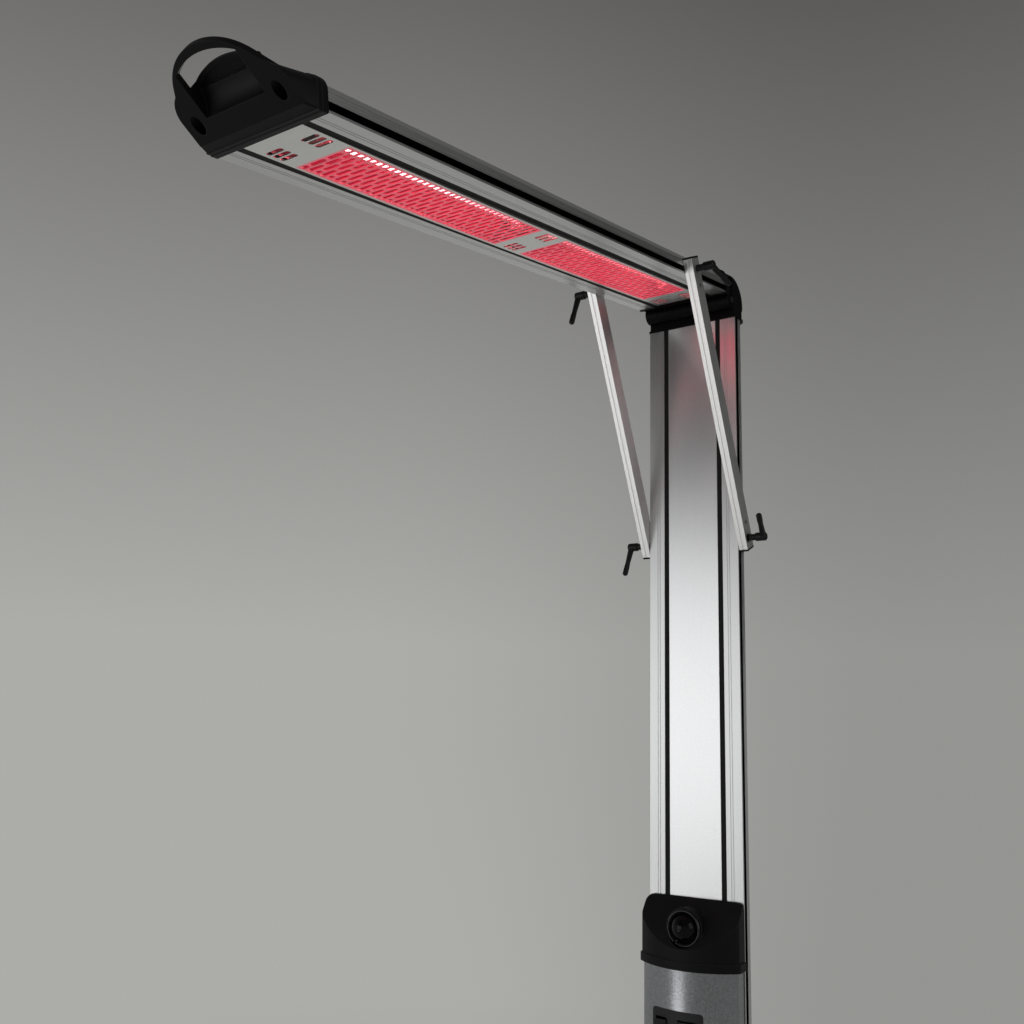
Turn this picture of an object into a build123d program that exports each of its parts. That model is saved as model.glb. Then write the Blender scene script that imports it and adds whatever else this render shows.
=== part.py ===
from build123d import *
from math import acos, atan2, cos, degrees, radians, sin, sqrt, tan
import os

# Infrared patio heater tower: a base plate, a column profile, and a heating arm of the same profile
# that tilts on a knuckle hinge at the column's top and is held by two clamped struts.
#
# Frame: millimetres, +Z up, the arm points to -Y, X runs across the tower.
# The origin lies on the floor below the middle of the column's front face.

# ---------------------------------------------------------------- driving dimensions
hinge_height = 2200.0        # floor to the corner where the arm's underside meets the column's front
arm_droop = 9.0              # how far the arm points below level at rest, degrees

# the profile that the column and the arm share
profile_width = 165.0
profile_depth = 40.0
profile_side = 22.6          # depth of the side face, before the rear chamfer
profile_wall = 2.0
chamfer_run = 17.4           # width that the rear chamfer takes on each side
slot_outer = 56.3            # from the middle to the outer edge of each front slot
slot_inner = 45.5            # from the middle to the inner edge of each front slot
groove_pitch = 4.0           # the two fine grooves on each flange
groove_first = 6.0
groove_width = 1.0
groove_depth = 0.5
channel_lip = 3.0            # front face to the side channel's mouth
channel_mouth = 9.6
channel_neck = 2.5
channel_height = 12.4
channel_depth = 12.5
rib_thickness = 2.0

# front covers and slot strips
cover_thickness = 1.6
cover_lift = 0.3             # clearance between a cover and the seat behind it
strip_recess = 0.5           # how deep the slot strips lie behind the front face
strip_thickness = 2.0
seat_depth = 6.0             # front face to the shelf that carries the strips and the cover
cover_flange = 4.0

# hinge
cap_length = 38.0            # hinge corner to the open edge of each hinge cap
cap_seat = 34.0              # hinge corner to the end of each profile
cap_wall = 1.4
cap_gap = 0.2                # clearance of a cap round its profile
cap_corner = 12.0            # rear corner radius of the caps
cap_edge = 2.0               # front corner radius of the caps
hinge_offset = 8.0           # hinge axis in front of both front faces
knuckle_radius = 15.0
knuckle_count = 5            # knuckles of the arm
knuckle_pitch = 33.0
knuckle_width = 16.1
elbow_radius = 42.0
elbow_shell = 2.0
elbow_gap = 0.5
cheek_relief = 2.5           # how far the barrel's ends lie inside the cheeks
pin_radius = 4.0
pin_clearance = 0.06
pin_head = 2.0
pin_head_radius = 5.5
drum_start = 12.0            # elbow angles, degrees from level
shell_end = 60.0
cheek_start = -12.0
cheek_end = 91.0
tilt_up = 21.0               # the arm's travel above its drawn place, degrees
tilt_play = 3.0
cap_end_wall = 4.0           # the arm cap's flange in front of the cheeks
cap_overhang = 10.0          # how far the arm cap's rear reaches over the cheeks
cable_hole_radius = 7.0

# outer cap with its grip
outer_cap_skirt = 7.0        # length of the cap that covers the profile
rim_length = 7.0             # rim between the profile's end and the tapering body
rim_step = 0.6               # each step of the rim
face_gap = 17.8              # arm profile's end to the sloping end face, along the underside
face_slope = 51.3            # slope of the end face, degrees from square
face_half_width = 77.0
face_foot = 3.2              # lower edge of the face, along the slope
face_straight = 35.0         # straight part of the face's sides, along the slope
face_height = 96.0           # along the slope
face_arch = 68.0             # radius of the arch over the face
face_plate = 8.0             # thickness of the face plate and the grip bar
body_top = 62.0              # top of the tapering body, along the slope
body_corner = 30.0
outer_corner = 20.0          # rear corner radius of the outer cap
grip_half_width = 43.5
grip_side = 75.0             # top of the window's sides, along the slope
grip_top = 87.0              # middle of the window's upper edge, along the slope
grip_low = 27.0              # lower edge of the grip recess, along the slope
recess_depth = 22.0
cup_wall = 3.0
cup_side = 57.0              # top of the cup's sides, along the slope
cup_top = 69.3               # middle of the cup's upper edge, along the slope
cup_rim = 4.6                # width of the raised rim along the cup's upper edge
cup_rim_rise = 2.0
shelf_height = 50.0          # top of the scoop, along the slope
scoop_radius = 30.0
scoop_middle = (54.6, 11.6)  # scoop's axis: along the slope, and in front of the face
cavity_half = 48.0
screw_seat_gap = 14.0        # arm profile's end to the outer cap's screw seats
hinge_screw_seat = 22.0      # hinge corner to the hinge caps' screw seats
screw_play = 0.1
cap_screw_x = 60.0
cap_screw_depth = 15.0       # front face to the cap screws
cap_screw_radius = 2.5
cap_screw_length = 26.0
cap_screw_head = 4.6
counterbore_radius = 7.0
screw_port_radius = 5.0

# grille and lamps
grille_start = 46.0
grille_end_gap = 7.0         # grille's end to the arm profile's end
grille_thickness = 1.5
grille_half = 43.7           # from the middle to the grille's folded edge
grille_bow = 2.6             # how far the grille's middle stands out
zone_first = 109.0           # hinge corner to the first mesh zone
zone_length = 377.0          # the lit length of one lamp
zone_gap = 66.0              # between the two mesh zones
zone_margin = 85.0           # second mesh zone to the arm profile's end
zone_width = 77.0
mesh_rows = 37
mesh_bar = 2.4               # metal between two slots, across and along
vent_rows = 3
vent_margin = 36.5           # from a mesh zone's end to the middle of its vent group
lamp_radius = 5.5
lamp_bore = 4.3
lamp_height = 19.0           # lamp axis behind the grille's face
lamp_overhang = 10.0         # lamp glass beyond its mesh zone, each end
filament_radius = 1.2
holder_length = 22.0
holder_width = 17.0
holder_height = 17.0
reflector_wall = 0.8
reflector_mouth = 80.0
reflector_back = 30.0
reflector_front = 4.5
lamp_pinch = 12.0            # solid end of a lamp's glass
seat_play = 0.3
terminal_length = 50.0
terminal_height = 14.0
terminal_width = 16.0
terminal_place = 48.0
terminal_ways = 5

# struts and clamps
strut_reach = 184.0          # hinge corner to the upper pivot, along the arm
strut_length = 450.0         # pivot to pivot
strut_width = 15.0
strut_depth = 27.0
strut_wall = 1.8
strut_overrun = 17.0         # bar beyond each pivot
strut_side_gap = 0.6         # profile side to the strut
strut_groove_width = 2.4
strut_groove_depth = 1.0
plug_flange = 3.0
plug_length = 50.0
plug_fit = 0.15
plug_screw_length = 9.0
plug_screw_offset = 27.0     # pivot to the plug screw
plug_screw_radius = 3.4
pivot_clearance = 0.1
follow_slot_length = 13.0    # opening of the lower pivot, along the strut
follow_slot_width = 20.0     # opening of the lower pivot, across the strut
stud_radius = 4.0
nut_length = 24.0
nut_clearance = 0.3
nut_thickness = 6.0
thread_clearance = 0.3
collar_radius = 5.5
collar_length = 11.5
hub_radius = 7.2
hub_length = 19.0
hub_chamfer = 1.6
lever_reach = 47.0
lever_root_radius = 5.4
lever_waist_radius = 4.2
lever_tip_radius = 4.8
lever_lean = 9.0             # how far the lever's tip leans away from the strut
running_gap = 0.3
lever_turns = {              # each lever's turn about its stud, degrees from upright towards the front
    ("upper", "right"): 250.0,
    ("lower", "right"): 55.0,
    ("upper", "left"): 172.0,
    ("lower", "left"): 172.0,
}

# control housing on the column's front
housing_top = 1010.0         # hinge corner down to the hood's top edge
housing_length = 300.0
housing_half_width = 84.0
housing_side = 24.0          # depth of the housing's side walls
housing_nose = 54.0          # depth of the housing's rounded front
housing_wall = 2.6
housing_corner = 10.0
hood_corner = 12.0
hood_drop = 99.0             # hood's top edge to its lower edge at the column
hood_tilt = 3.5              # slope of the hood's lower edge, degrees
scoop_face = 54.5            # slope of the hood's dark face, degrees below level
hood_ledge = 2.5             # width of the flat ledge along the hood's top
lip_height = 12.5
lip_flare = 2.4
sensor_drop = 42.0
sensor_front = 47.0          # column face to the front of the sensor ring
ring_radius = 28.5
ring_inner = 22.6
ring_mouth = 3.0             # how far the ring's mouth opens inside its front
ring_floor = 4.0
dome_set_back = 9.0          # front of the sensor ring to the middle of the dome
dome_wall = 1.8
ring_edge = 1.6
notch_turn = 215.0           # the ring's pointer notch, degrees round from upright
notch_width = 3.2
notch_depth = 8.0
can_radius = 9.0
collar_rise = 4.0
sensor_back = 16.0           # column face to the back of the sensor ring
steel_wall = 1.2
board_thickness = 1.6
panel_middle = -10.0
panel_half_width = 44.5
panel_drop = 163.0           # hood's top edge to the switch panel's top edge
panel_height = 62.0
panel_lift = 1.4
main_rocker_x = -37.0
main_rocker_width = 21.0
heat_rocker_x = 8.0
heat_rocker_width = 29.0
rocker_height = 34.0
rocker_drop = 14.0
rocker_throw = 7.0           # a rocker's tilt each way, degrees
rocker_axle_radius = 2.0
rocker_back = 8.0
rocker_pad = 6.0
foot_height = 26.0
back_plate = 2.0
gland_radius = 9.0
gland_length = 22.0
gland_bore = 4.2
gland_y = 24.0               # column face to the gland's middle

# base
mat_thickness = 3.0
base_width = 560.0
base_front = 430.0           # column face to the plate's front edge
base_back = 230.0            # column face to the plate's rear edge
base_thickness = 10.0
base_corner = 60.0
socket_wall = 4.0
socket_height = 150.0
socket_gap = 0.3
socket_foot = 34.0
socket_foot_thickness = 6.0
socket_bolt_radius = 5.0
bolt_head_radius = 8.5
bolt_head_height = 6.4
column_start = 22.0          # floor to the column's lower end
wheel_radius = 40.0
wheel_width = 24.0
wheel_lift = 6.0             # floor to the wheel's lowest point
wheel_offset = 200.0         # middle to each wheel
wheel_behind = 40.0          # plate's rear edge to the wheel axle
axle_radius = 6.0
ear_thickness = 6.0
ear_gap = 2.0
ear_run = 70.0               # length of a wheel bracket on the plate
ear_foot = 30.0              # width of a wheel bracket's foot
ear_foot_thickness = 5.0
ear_rim = 14.0               # the bracket's edge round the axle
ear_bolt_inset = 18.0        # plate's rear edge to the brackets' rear bolts
tread_radius = 4.0
dish_rim = 10.0              # tyre's tread to the wheel's dished side
dish_depth = 8.0
wheel_hub = 14.0

# ---------------------------------------------------------------- worked-out places
half_width = profile_width / 2
dome_radius = ring_inner - seat_play
fold_angle = 90.0 - arm_droop
hinge_along = hinge_offset / tan(radians(fold_angle / 2))
zone_starts = (zone_first, zone_first + zone_length + zone_gap)
arm_end = zone_starts[1] + zone_length + zone_margin
grille_end = arm_end - grille_end_gap
face_base = arm_end + face_gap
screw_seat = arm_end + screw_seat_gap
cheek_width = half_width - (knuckle_count - 1) / 2 * knuckle_pitch - knuckle_width / 2 - elbow_gap
channel_middle = channel_lip + channel_mouth / 2
strut_x = half_width + strut_side_gap
hub_start_x = strut_x + strut_width + running_gap
hinge_y = -hinge_offset
hinge_z = hinge_height - hinge_along
droop = radians(arm_droop)
arm_out = (-cos(droop), -sin(droop))
arm_up = (-sin(droop), cos(droop))


def arm_point(along, up):
    """Y and Z of a point on the arm: its distance along the arm and above the arm's underside."""
    y = along * arm_out[0] + up * arm_up[0]
    z = hinge_height + along * arm_out[1] + up * arm_up[1]
    return y, z


upper_pivot = arm_point(strut_reach, channel_middle)
pivot_run = channel_middle - upper_pivot[0]
pivot_drop = sqrt(strut_length ** 2 - pivot_run ** 2)
lower_pivot = (channel_middle, upper_pivot[1] - pivot_drop)
strut_lean = degrees(atan2(pivot_run, pivot_drop))

# an end frame: x across, y from the front face backwards, z away from the hinge corner
arm_frame = Pos(0, 0, hinge_height) * Rot(90 + arm_droop, 0, 0)
column_frame = Pos(0, 0, hinge_height) * Rot(0, 180, 0)


# ---------------------------------------------------------------- helpers
def block(x0, x1, y0, y1, z0, z1):
    """A box between two corners."""
    return Pos((x0 + x1) / 2, (y0 + y1) / 2, (z0 + z1) / 2) * Box(x1 - x0, y1 - y0, z1 - z0)


def mirrored(shape):
    """A shape with its twin on the other side of the tower."""
    return [shape, shape.mirror(Plane.YZ)]


def rod_x(radius, x0, x1, y, z):
    """A round bar along X."""
    return Pos((x0 + x1) / 2, y, z) * Rot(0, 90, 0) * Cylinder(radius, x1 - x0)


def rod_y(radius, y0, y1, x, z):
    """A round bar along Y."""
    return Pos(x, (y0 + y1) / 2, z) * Rot(90, 0, 0) * Cylinder(radius, y1 - y0)


def rod_z(radius, z0, z1, x, y):
    """A round bar along Z."""
    return Pos(x, y, (z0 + z1) / 2) * Cylinder(radius, z1 - z0)


def prism_z(points, z0, z1):
    """A closed outline in X and Y, raised from z0 to z1."""
    face = make_face(Polyline(*points, close=True))
    return Pos(0, 0, z0) * extrude(face, z1 - z0)


def prism_x(points, x0, x1):
    """A closed outline in Y and Z, drawn out from x0 to x1."""
    face = make_face(Plane.YZ * Polyline(*points, close=True))
    return Pos(x0, 0, 0) * extrude(face, x1 - x0, dir=(1, 0, 0))


def symmetric(points):
    """An outline's right half with its mirror image, as one closed outline."""
    return points + [(-x, y) for x, y in reversed(points)]


def write(name, shapes):
    """Write one node, a solid or a group of solids."""
    solids = shapes if isinstance(shapes, list) else [shapes]
    parts = []
    for shape in solids:
        parts.extend(shape.solids())
    node = parts[0] if len(parts) == 1 else Compound(children=parts)
    node.label = name
    export_step(node, os.path.join("parts", name + ".step"))


# ---------------------------------------------------------------- the shared profile
def profile_outline(inset):
    """The profile's outer corners, right half, drawn in by a wall."""
    corner = inset * tan(radians(22.5))
    rear = half_width - chamfer_run
    return [
        (half_width - inset, inset),
        (half_width - inset, profile_side - corner),
        (rear - corner, profile_depth - inset),
    ]


def profile(z0, z1):
    """The aluminium profile: flanges, front slots, side channels, rear chamfers and screw ports."""
    body = prism_z(symmetric(profile_outline(0)), z0, z1)
    body -= prism_z(symmetric(profile_outline(profile_wall)), z0, z1)
    body -= block(-slot_outer, slot_outer, -1, profile_wall, z0, z1)
    shelf_edge = slot_inner - cover_flange
    channel_top = channel_lip - (channel_height - channel_mouth) / 2
    for side in (1, -1):
        channel_web = half_width - channel_neck - channel_depth - rib_thickness
        rib = block(channel_web, half_width, channel_top, channel_top + channel_height + rib_thickness, z0, z1)
        rib += block(channel_web, channel_web + rib_thickness, 0, channel_top + 1, z0, z1)
        shelf = block(slot_outer - rib_thickness, slot_outer, 0, seat_depth + rib_thickness, z0, z1)
        shelf += block(shelf_edge, slot_outer, seat_depth, seat_depth + rib_thickness, z0, z1)
        port = rod_z(screw_port_radius, z0, z1, cap_screw_x, cap_screw_depth)
        port += block(cap_screw_x, channel_web + rib_thickness, cap_screw_depth - 1, cap_screw_depth, z0, z1)
        added = rib + shelf + port
        if side < 0:
            added = added.mirror(Plane.YZ)
        body += added
        cavity_x = half_width - channel_neck
        cut = block(cavity_x - channel_depth, cavity_x, channel_top, channel_top + channel_height, z0, z1)
        cut += block(cavity_x, half_width + 1, channel_lip, channel_lip + channel_mouth, z0, z1)
        for count in range(2):
            x = slot_outer + groove_first + count * groove_pitch
            cut += block(x, x + groove_width, -1, groove_depth, z0, z1)
            y = channel_lip + channel_mouth + (count + 1) * (profile_side - channel_lip - channel_mouth) / 3
            cut += block(half_width - groove_depth, half_width + 1, y, y + groove_width, z0, z1)
        cut += rod_z(cap_screw_radius, z0, z1, cap_screw_x, cap_screw_depth)
        if side < 0:
            cut = cut.mirror(Plane.YZ)
        body -= cut
    return body


def slot_strips(cover_half, z0, z1):
    """The two dark strips that fill the front slots beside a cover."""
    strips = []
    for side in (1, -1):
        edge = slot_outer - rib_thickness
        strip = block(slot_inner - cover_flange, edge, seat_depth - strip_thickness, seat_depth, z0, z1)
        strip += block(cover_half, edge, strip_recess, seat_depth, z0, z1)
        strips.append(strip if side > 0 else strip.mirror(Plane.YZ))
    return strips


def front_cover(cover_half, z0, z1):
    """A cover pan between the front slots, with folded edges that stand on the strips."""
    outer = block(-cover_half, cover_half, 0, seat_depth - strip_thickness, z0, z1)
    inner_half = cover_half - cover_thickness
    return outer - block(-inner_half, inner_half, cover_thickness, seat_depth, z0, z1)


# ---------------------------------------------------------------- hinge caps, in the end frame
def rounded_sheet(half, y0, y1, low_corner, high_corner):
    """A rectangle about the middle with one radius for its lower and one for its upper corners."""
    sheet = Pos(0, (y0 + y1) / 2) * Rectangle(2 * half, y1 - y0)
    sheet = fillet(sheet.vertices().group_by(Axis.Y)[-1], high_corner)
    return fillet(sheet.vertices().group_by(Axis.Y)[0], low_corner)


def cap_section(grow, corner=cap_corner):
    """The caps' rounded outline, grown by a wall."""
    return rounded_sheet(half_width + grow, -grow, profile_depth + grow, cap_edge, corner)


def cap_outline(grow, z0, z1, corner=cap_corner):
    """The caps' rounded outline raised between two heights."""
    return Pos(0, 0, z0) * extrude(cap_section(grow, corner), z1 - z0)


def wedge(a0, a1, x0, x1):
    """Everything between two elbow angles round the hinge axis, seen from +X in world axes."""
    reach = 3 * elbow_radius
    points = [(hinge_y, hinge_z)]
    steps = 4
    for count in range(steps + 1):
        angle = radians(a0 + (a1 - a0) * count / steps)
        points.append((hinge_y + reach * cos(angle), hinge_z + reach * sin(angle)))
    return prism_x(points, x0, x1)


def ring_sector(r0, r1, a0, a1, x0, x1):
    """A sector of a tube round the hinge axis, or of a disc when r0 is 0."""
    tube = rod_x(r1, x0, x1, hinge_y, hinge_z)
    if r0 > 0:
        tube -= rod_x(r0, x0, x1, hinge_y, hinge_z)
    return tube & wedge(a0, a1, x0, x1)


def knuckle_places(kind):
    """X ranges of the arm's knuckles, or of the column's knuckles between them."""
    count = knuckle_count if kind == "arm" else knuckle_count - 1
    first = -(count - 1) / 2 * knuckle_pitch
    places = []
    for index in range(count):
        middle = first + index * knuckle_pitch
        places.append((middle - knuckle_width / 2, middle + knuckle_width / 2))
    return places


def skirt(z_far):
    """The wall of a cap that covers its profile's end."""
    outer = cap_outline(cap_gap + cap_wall, cap_seat, z_far)
    return outer - prism_z(symmetric(profile_outline(-cap_gap)), cap_seat, z_far)


def pin_bore():
    """The hinge pin's bore through every knuckle."""
    return rod_x(pin_radius + pin_clearance, -half_width - 5, half_width + 5, hinge_y, hinge_z)


def cap_screw_holes():
    """Clearance holes for a hinge cap's two screws, with room for their heads, in an end frame."""
    holes = rod_z(cap_screw_radius, 0, cap_seat, cap_screw_x, cap_screw_depth)
    holes += rod_z(cap_screw_head + 0.6, -elbow_radius, hinge_screw_seat, cap_screw_x, cap_screw_depth)
    return holes + holes.mirror(Plane.YZ)


def column_hinge_cap():
    """The column's cap: body, cheeks, elbow shell and the knuckles that hold the pin."""
    inner_x = half_width - cheek_width
    body = cap_outline(0, hinge_along, cap_seat) + skirt(cap_length)
    body -= cap_screw_holes()
    body -= rod_z(cable_hole_radius, hinge_along - 1, cap_seat + 1, 0, profile_depth / 2)
    cap = column_frame * body
    cap += ring_sector(elbow_radius - elbow_shell, elbow_radius, cheek_start, shell_end, -half_width, half_width)
    for x0 in (inner_x, -half_width):
        x1 = x0 + cheek_width
        cap += ring_sector(0, elbow_radius, cheek_start, cheek_end, x0, x1)
    for x0, x1 in knuckle_places("arm"):
        cap -= rod_x(knuckle_radius + elbow_gap, x0 - elbow_gap, x1 + elbow_gap, hinge_y, hinge_z)
    for x0, x1 in knuckle_places("column"):
        cap += rod_x(knuckle_radius, x0, x1, hinge_y, hinge_z)
    for side in (1, -1):
        ends = sorted((side * inner_x, side * (half_width - cheek_relief)))
        cap += rod_x(knuckle_radius, ends[0], ends[1], hinge_y, hinge_z)
        recess = sorted((side * (half_width - cheek_relief), side * (half_width + 1)))
        cap -= rod_x(pin_head_radius + running_gap, recess[0], recess[1], hinge_y, hinge_z)
    return cap - pin_bore()


def arm_hinge_cap():
    """The arm's cap: body, drum inside the column's elbow shell, and knuckles on the pin."""
    inner_x = half_width - cheek_width - elbow_gap
    body = cap_outline(0, hinge_along, cap_seat) + skirt(cap_length)
    body -= rod_z(cable_hole_radius, hinge_along - 1, cap_seat + 1, 0, profile_depth / 2)
    cap = arm_frame * body
    drum_radius = elbow_radius - elbow_shell - elbow_gap
    inner_radius = knuckle_radius + elbow_gap
    for side in (1, -1):
        ends = sorted((side * inner_x, side * (half_width + 5)))
        cheek_space = ring_sector(0, elbow_radius + elbow_gap, -60, cheek_end + tilt_up + tilt_play, *ends)
        cheek_space += rod_x(knuckle_radius + elbow_gap, *ends, hinge_y, hinge_z)
        cap -= cheek_space & (arm_frame * cap_outline(cap_edge, -2 * elbow_radius, cap_seat - cap_end_wall))
    lid = cap_outline(0, hinge_along - cap_overhang, hinge_along)
    lid &= block(-half_width, half_width, profile_depth / 2, profile_depth, hinge_along - cap_overhang, hinge_along)
    cap += arm_frame * lid - rod_x(elbow_radius + elbow_gap, -half_width - 5, half_width + 5, hinge_y, hinge_z)
    cap += ring_sector(inner_radius, drum_radius, drum_start, 90 + arm_droop, -inner_x, inner_x)
    for x0, x1 in knuckle_places("column"):
        cap -= rod_x(inner_radius, x0 - elbow_gap, x1 + elbow_gap, hinge_y, hinge_z)
    for x0, x1 in knuckle_places("arm"):
        cap += rod_x(knuckle_radius, x0, x1, hinge_y, hinge_z)
    cap -= ring_sector(drum_radius, elbow_radius + 30, -60, 68, -half_width - 5, half_width + 5)
    return cap - pin_bore() - arm_frame * cap_screw_holes()


def hinge_pin():
    """The hinge pin with a round head at each end, against the barrel's ends."""
    end = half_width - cheek_relief
    pin = rod_x(pin_radius, -end - pin_head, end + pin_head, hinge_y, hinge_z)
    for side in (1, -1):
        ends = sorted((side * (end + 0.1), side * (end + pin_head)))
        pin += rod_x(pin_head_radius, ends[0], ends[1], hinge_y, hinge_z)
    return pin


# ---------------------------------------------------------------- outer cap, in the arm's end frame
slope = radians(face_slope)
face_plane = Plane(origin=(0, 0, face_base), x_dir=(1, 0, 0), z_dir=(0, -sin(slope), cos(slope)))


def face_sheet():
    """The end face's outline: upright sides, slanted shoulders and a round arch that they run into."""
    middle = face_height - face_arch
    reach = sqrt(face_half_width ** 2 + (face_straight - middle) ** 2)
    angle = atan2(face_straight - middle, face_half_width) + acos(face_arch / reach)
    touch = (face_arch * cos(angle), middle + face_arch * sin(angle))
    sides = Polyline((-touch[0], touch[1]), (-face_half_width, face_straight), (-face_half_width, face_foot),
                     (face_half_width, face_foot), (face_half_width, face_straight), touch)
    return make_face(sides + ThreePointArc(touch, (0, face_height), (-touch[0], touch[1])))


def arched_sheet(half, foot, side, top):
    """A sheet with upright sides from its foot and a shallow arch over them."""
    sides = Polyline((-half, side), (-half, foot), (half, foot), (half, side))
    return make_face(sides + ThreePointArc((half, side), (0, top), (-half, side)))


def outer_cap():
    """The arm's outer cap: stepped rim, tapering body, sloping end face and the grip cut through it."""
    rim_end = arm_end + rim_length
    skirt_start = arm_end - outer_cap_skirt
    grow = cap_gap + cap_wall
    cap = cap_outline(grow, skirt_start, arm_end + 1, outer_corner)
    cap += cap_outline(grow - rim_step, arm_end, rim_end, outer_corner)
    cap -= prism_z(symmetric(profile_outline(-cap_gap)), skirt_start - 1, arm_end)
    rim = Pos(0, 0, rim_end) * cap_section(grow - 2 * rim_step, outer_corner)
    front = rounded_sheet(face_half_width, face_foot, body_top, cap_edge, body_corner)
    cap += loft([rim.faces()[0], (face_plane * front).faces()[0]], ruled=True)

    grip = extrude(face_sheet(), -face_plate)
    cup = arched_sheet(grip_half_width + cup_wall, face_foot, cup_side, cup_top)
    grip += extrude(cup, -recess_depth - cup_wall)
    window = arched_sheet(grip_half_width, grip_low, grip_side, grip_top)
    recess = Pos(0, 0, 1) * extrude(window, -recess_depth + cup_rim_rise - 1)
    below_rim = arched_sheet(grip_half_width, grip_low, cup_side - cup_rim, cup_top - cup_rim)
    recess += Pos(0, 0, 1) * extrude(below_rim, -recess_depth - 1)
    scoop = block(-grip_half_width - 1, grip_half_width + 1, grip_low - 1, shelf_height, -recess_depth - 1, 0)
    scoop -= rod_x(scoop_radius, -face_half_width, face_half_width, scoop_middle[0], scoop_middle[1])
    cap += face_plane.location * grip
    cap -= face_plane.location * (recess - scoop)
    cap -= block(-cavity_half, cavity_half, profile_wall + cap_wall, profile_depth - profile_wall - cap_wall,
                 arm_end - 1, rim_end)
    for x in (cap_screw_x, -cap_screw_x):
        cap -= rod_z(cap_screw_radius, arm_end - 1, face_base + 60, x, cap_screw_depth)
        cap -= rod_z(counterbore_radius, screw_seat, face_base + 60, x, cap_screw_depth)
    return arm_frame * cap


def cap_screws(frame, seat, tip):
    """The two pan-head screws of a cap, from their seat down to their tips, in an end frame."""
    low, high = sorted((seat, tip))
    head_end = seat + cap_screw_head * (0.6 if seat > tip else -0.6)
    heads = sorted((seat, head_end))
    screws = []
    for x in (cap_screw_x, -cap_screw_x):
        shank = rod_z(cap_screw_radius - screw_play, low, high, x, cap_screw_depth)
        screws.append(frame * (shank + rod_z(cap_screw_head, heads[0], heads[1], x, cap_screw_depth)))
    return screws


# ---------------------------------------------------------------- grille and lamps, in the arm's end frame
row_pitch = zone_length / mesh_rows
slot_width = row_pitch - mesh_bar
slot_length = (zone_width - 2 * mesh_bar) / 3
slot_pitch = slot_length + mesh_bar


def slot_row(s, places):
    """The cutters of one row of oblong slots, from each slot's middle across the arm and its length."""
    cutters = []
    for x, length in places:
        outline = Plane.XZ * Pos(x, s) * SlotOverall(length, slot_width)
        cutters.append(extrude(outline, grille_bow + grille_thickness + 1, both=True))
    return cutters


def mesh_zone(start):
    """The cutters of a mesh zone: rows of three slots, and shifted rows with a short slot at each end."""
    short = (slot_length - mesh_bar) / 2
    even = [(x, slot_length) for x in (-slot_pitch, 0, slot_pitch)]
    odd = [(x, slot_length) for x in (-slot_pitch / 2, slot_pitch / 2)]
    odd += [(x, short) for x in (-(zone_width - short) / 2, (zone_width - short) / 2)]
    cutters = []
    for row in range(mesh_rows):
        cutters += slot_row(start + (row + 0.5) * row_pitch, even if row % 2 else odd)
    return cutters


def vent_group(middle):
    """The cutters of a pair of vent groups."""
    cutters = []
    for row in range(vent_rows):
        s = middle + (row - (vent_rows - 1) / 2) * row_pitch
        cutters += slot_row(s, [(x, slot_length) for x in (-slot_pitch, slot_pitch)])
    return cutters


def vent_middles():
    """Where the middles of the vent groups lie along the arm."""
    first, second = zone_starts
    return (first - vent_margin, (first + zone_length + second) / 2, second + zone_length + vent_margin)


def bowed_block(half, front, rear):
    """A block along the grille whose front stands out in an arc."""
    middle = (grille_start + grille_end) / 2
    outline = Polyline((front, grille_start), (rear, grille_start), (rear, grille_end), (front, grille_end))
    outline += ThreePointArc((front, grille_end), (front - grille_bow, middle), (front, grille_start))
    return extrude(Plane.YZ * make_face(outline), half, both=True)


def grille_panel():
    """The perforated pan below the lamps: two mesh zones, pairs of vent groups and folded edges."""
    panel = bowed_block(grille_half, 0, seat_depth - strip_thickness)
    panel -= bowed_block(grille_half - grille_thickness, grille_thickness, seat_depth)
    cutters = []
    for start in zone_starts:
        cutters += mesh_zone(start)
    for middle in vent_middles():
        cutters += vent_group(middle)
    return arm_frame * panel.cut(*cutters)


def lamp_span(start):
    """Both ends of a lamp's glass tube along the arm."""
    return start - lamp_overhang, start + zone_length + lamp_overhang


def lamp_tubes():
    """The two quartz tubes, each closed at both ends."""
    tubes = []
    for start in zone_starts:
        low, high = lamp_span(start)
        tube = rod_z(lamp_radius, low, high, 0, lamp_height)
        tube -= rod_z(lamp_bore, low + lamp_pinch, high - lamp_pinch, 0, lamp_height)
        tube -= rod_z(filament_radius + 0.1, low, high, 0, lamp_height)
        tubes.append(arm_frame * tube)
    return tubes


def filaments():
    """The heating wires along the middles of the tubes."""
    return [arm_frame * rod_z(filament_radius, *lamp_span(start), 0, lamp_height) for start in zone_starts]


def lamp_holders():
    """Four ceramic holders that stand on the profile's rear wall and hold the tubes' ends."""
    rear = profile_depth - profile_wall - seat_play
    holders = []
    for start in zone_starts:
        for end, direction in zip(lamp_span(start), (-1, 1)):
            low, high = sorted((end - direction * lamp_pinch, end + direction * (holder_length - lamp_pinch)))
            holder = block(-holder_width / 2, holder_width / 2, lamp_height - holder_height / 2, rear, low, high)
            bore_low, bore_high = sorted((end - direction * (lamp_pinch + 1), end + direction * seat_play))
            holder -= rod_z(lamp_radius + 0.1, bore_low, bore_high, 0, lamp_height)
            holders.append(arm_frame * holder)
    return holders


def reflectors():
    """Two folded reflector troughs between the holders."""
    rear = profile_depth - profile_wall - seat_play
    troughs = []
    for start in zone_starts:
        low = start - lamp_overhang + lamp_pinch + seat_play
        high = start + zone_length + lamp_overhang - lamp_pinch - seat_play
        outer = symmetric([(reflector_mouth / 2, reflector_front), (reflector_back / 2, rear)])
        shift = reflector_wall / cos(radians(30))
        inner = symmetric([(reflector_mouth / 2 - shift, reflector_front - 1),
                           (reflector_back / 2 - shift / 2, rear - reflector_wall)])
        troughs.append(arm_frame * (prism_z(outer, low, high) - prism_z(inner, low, high)))
    return troughs


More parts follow.
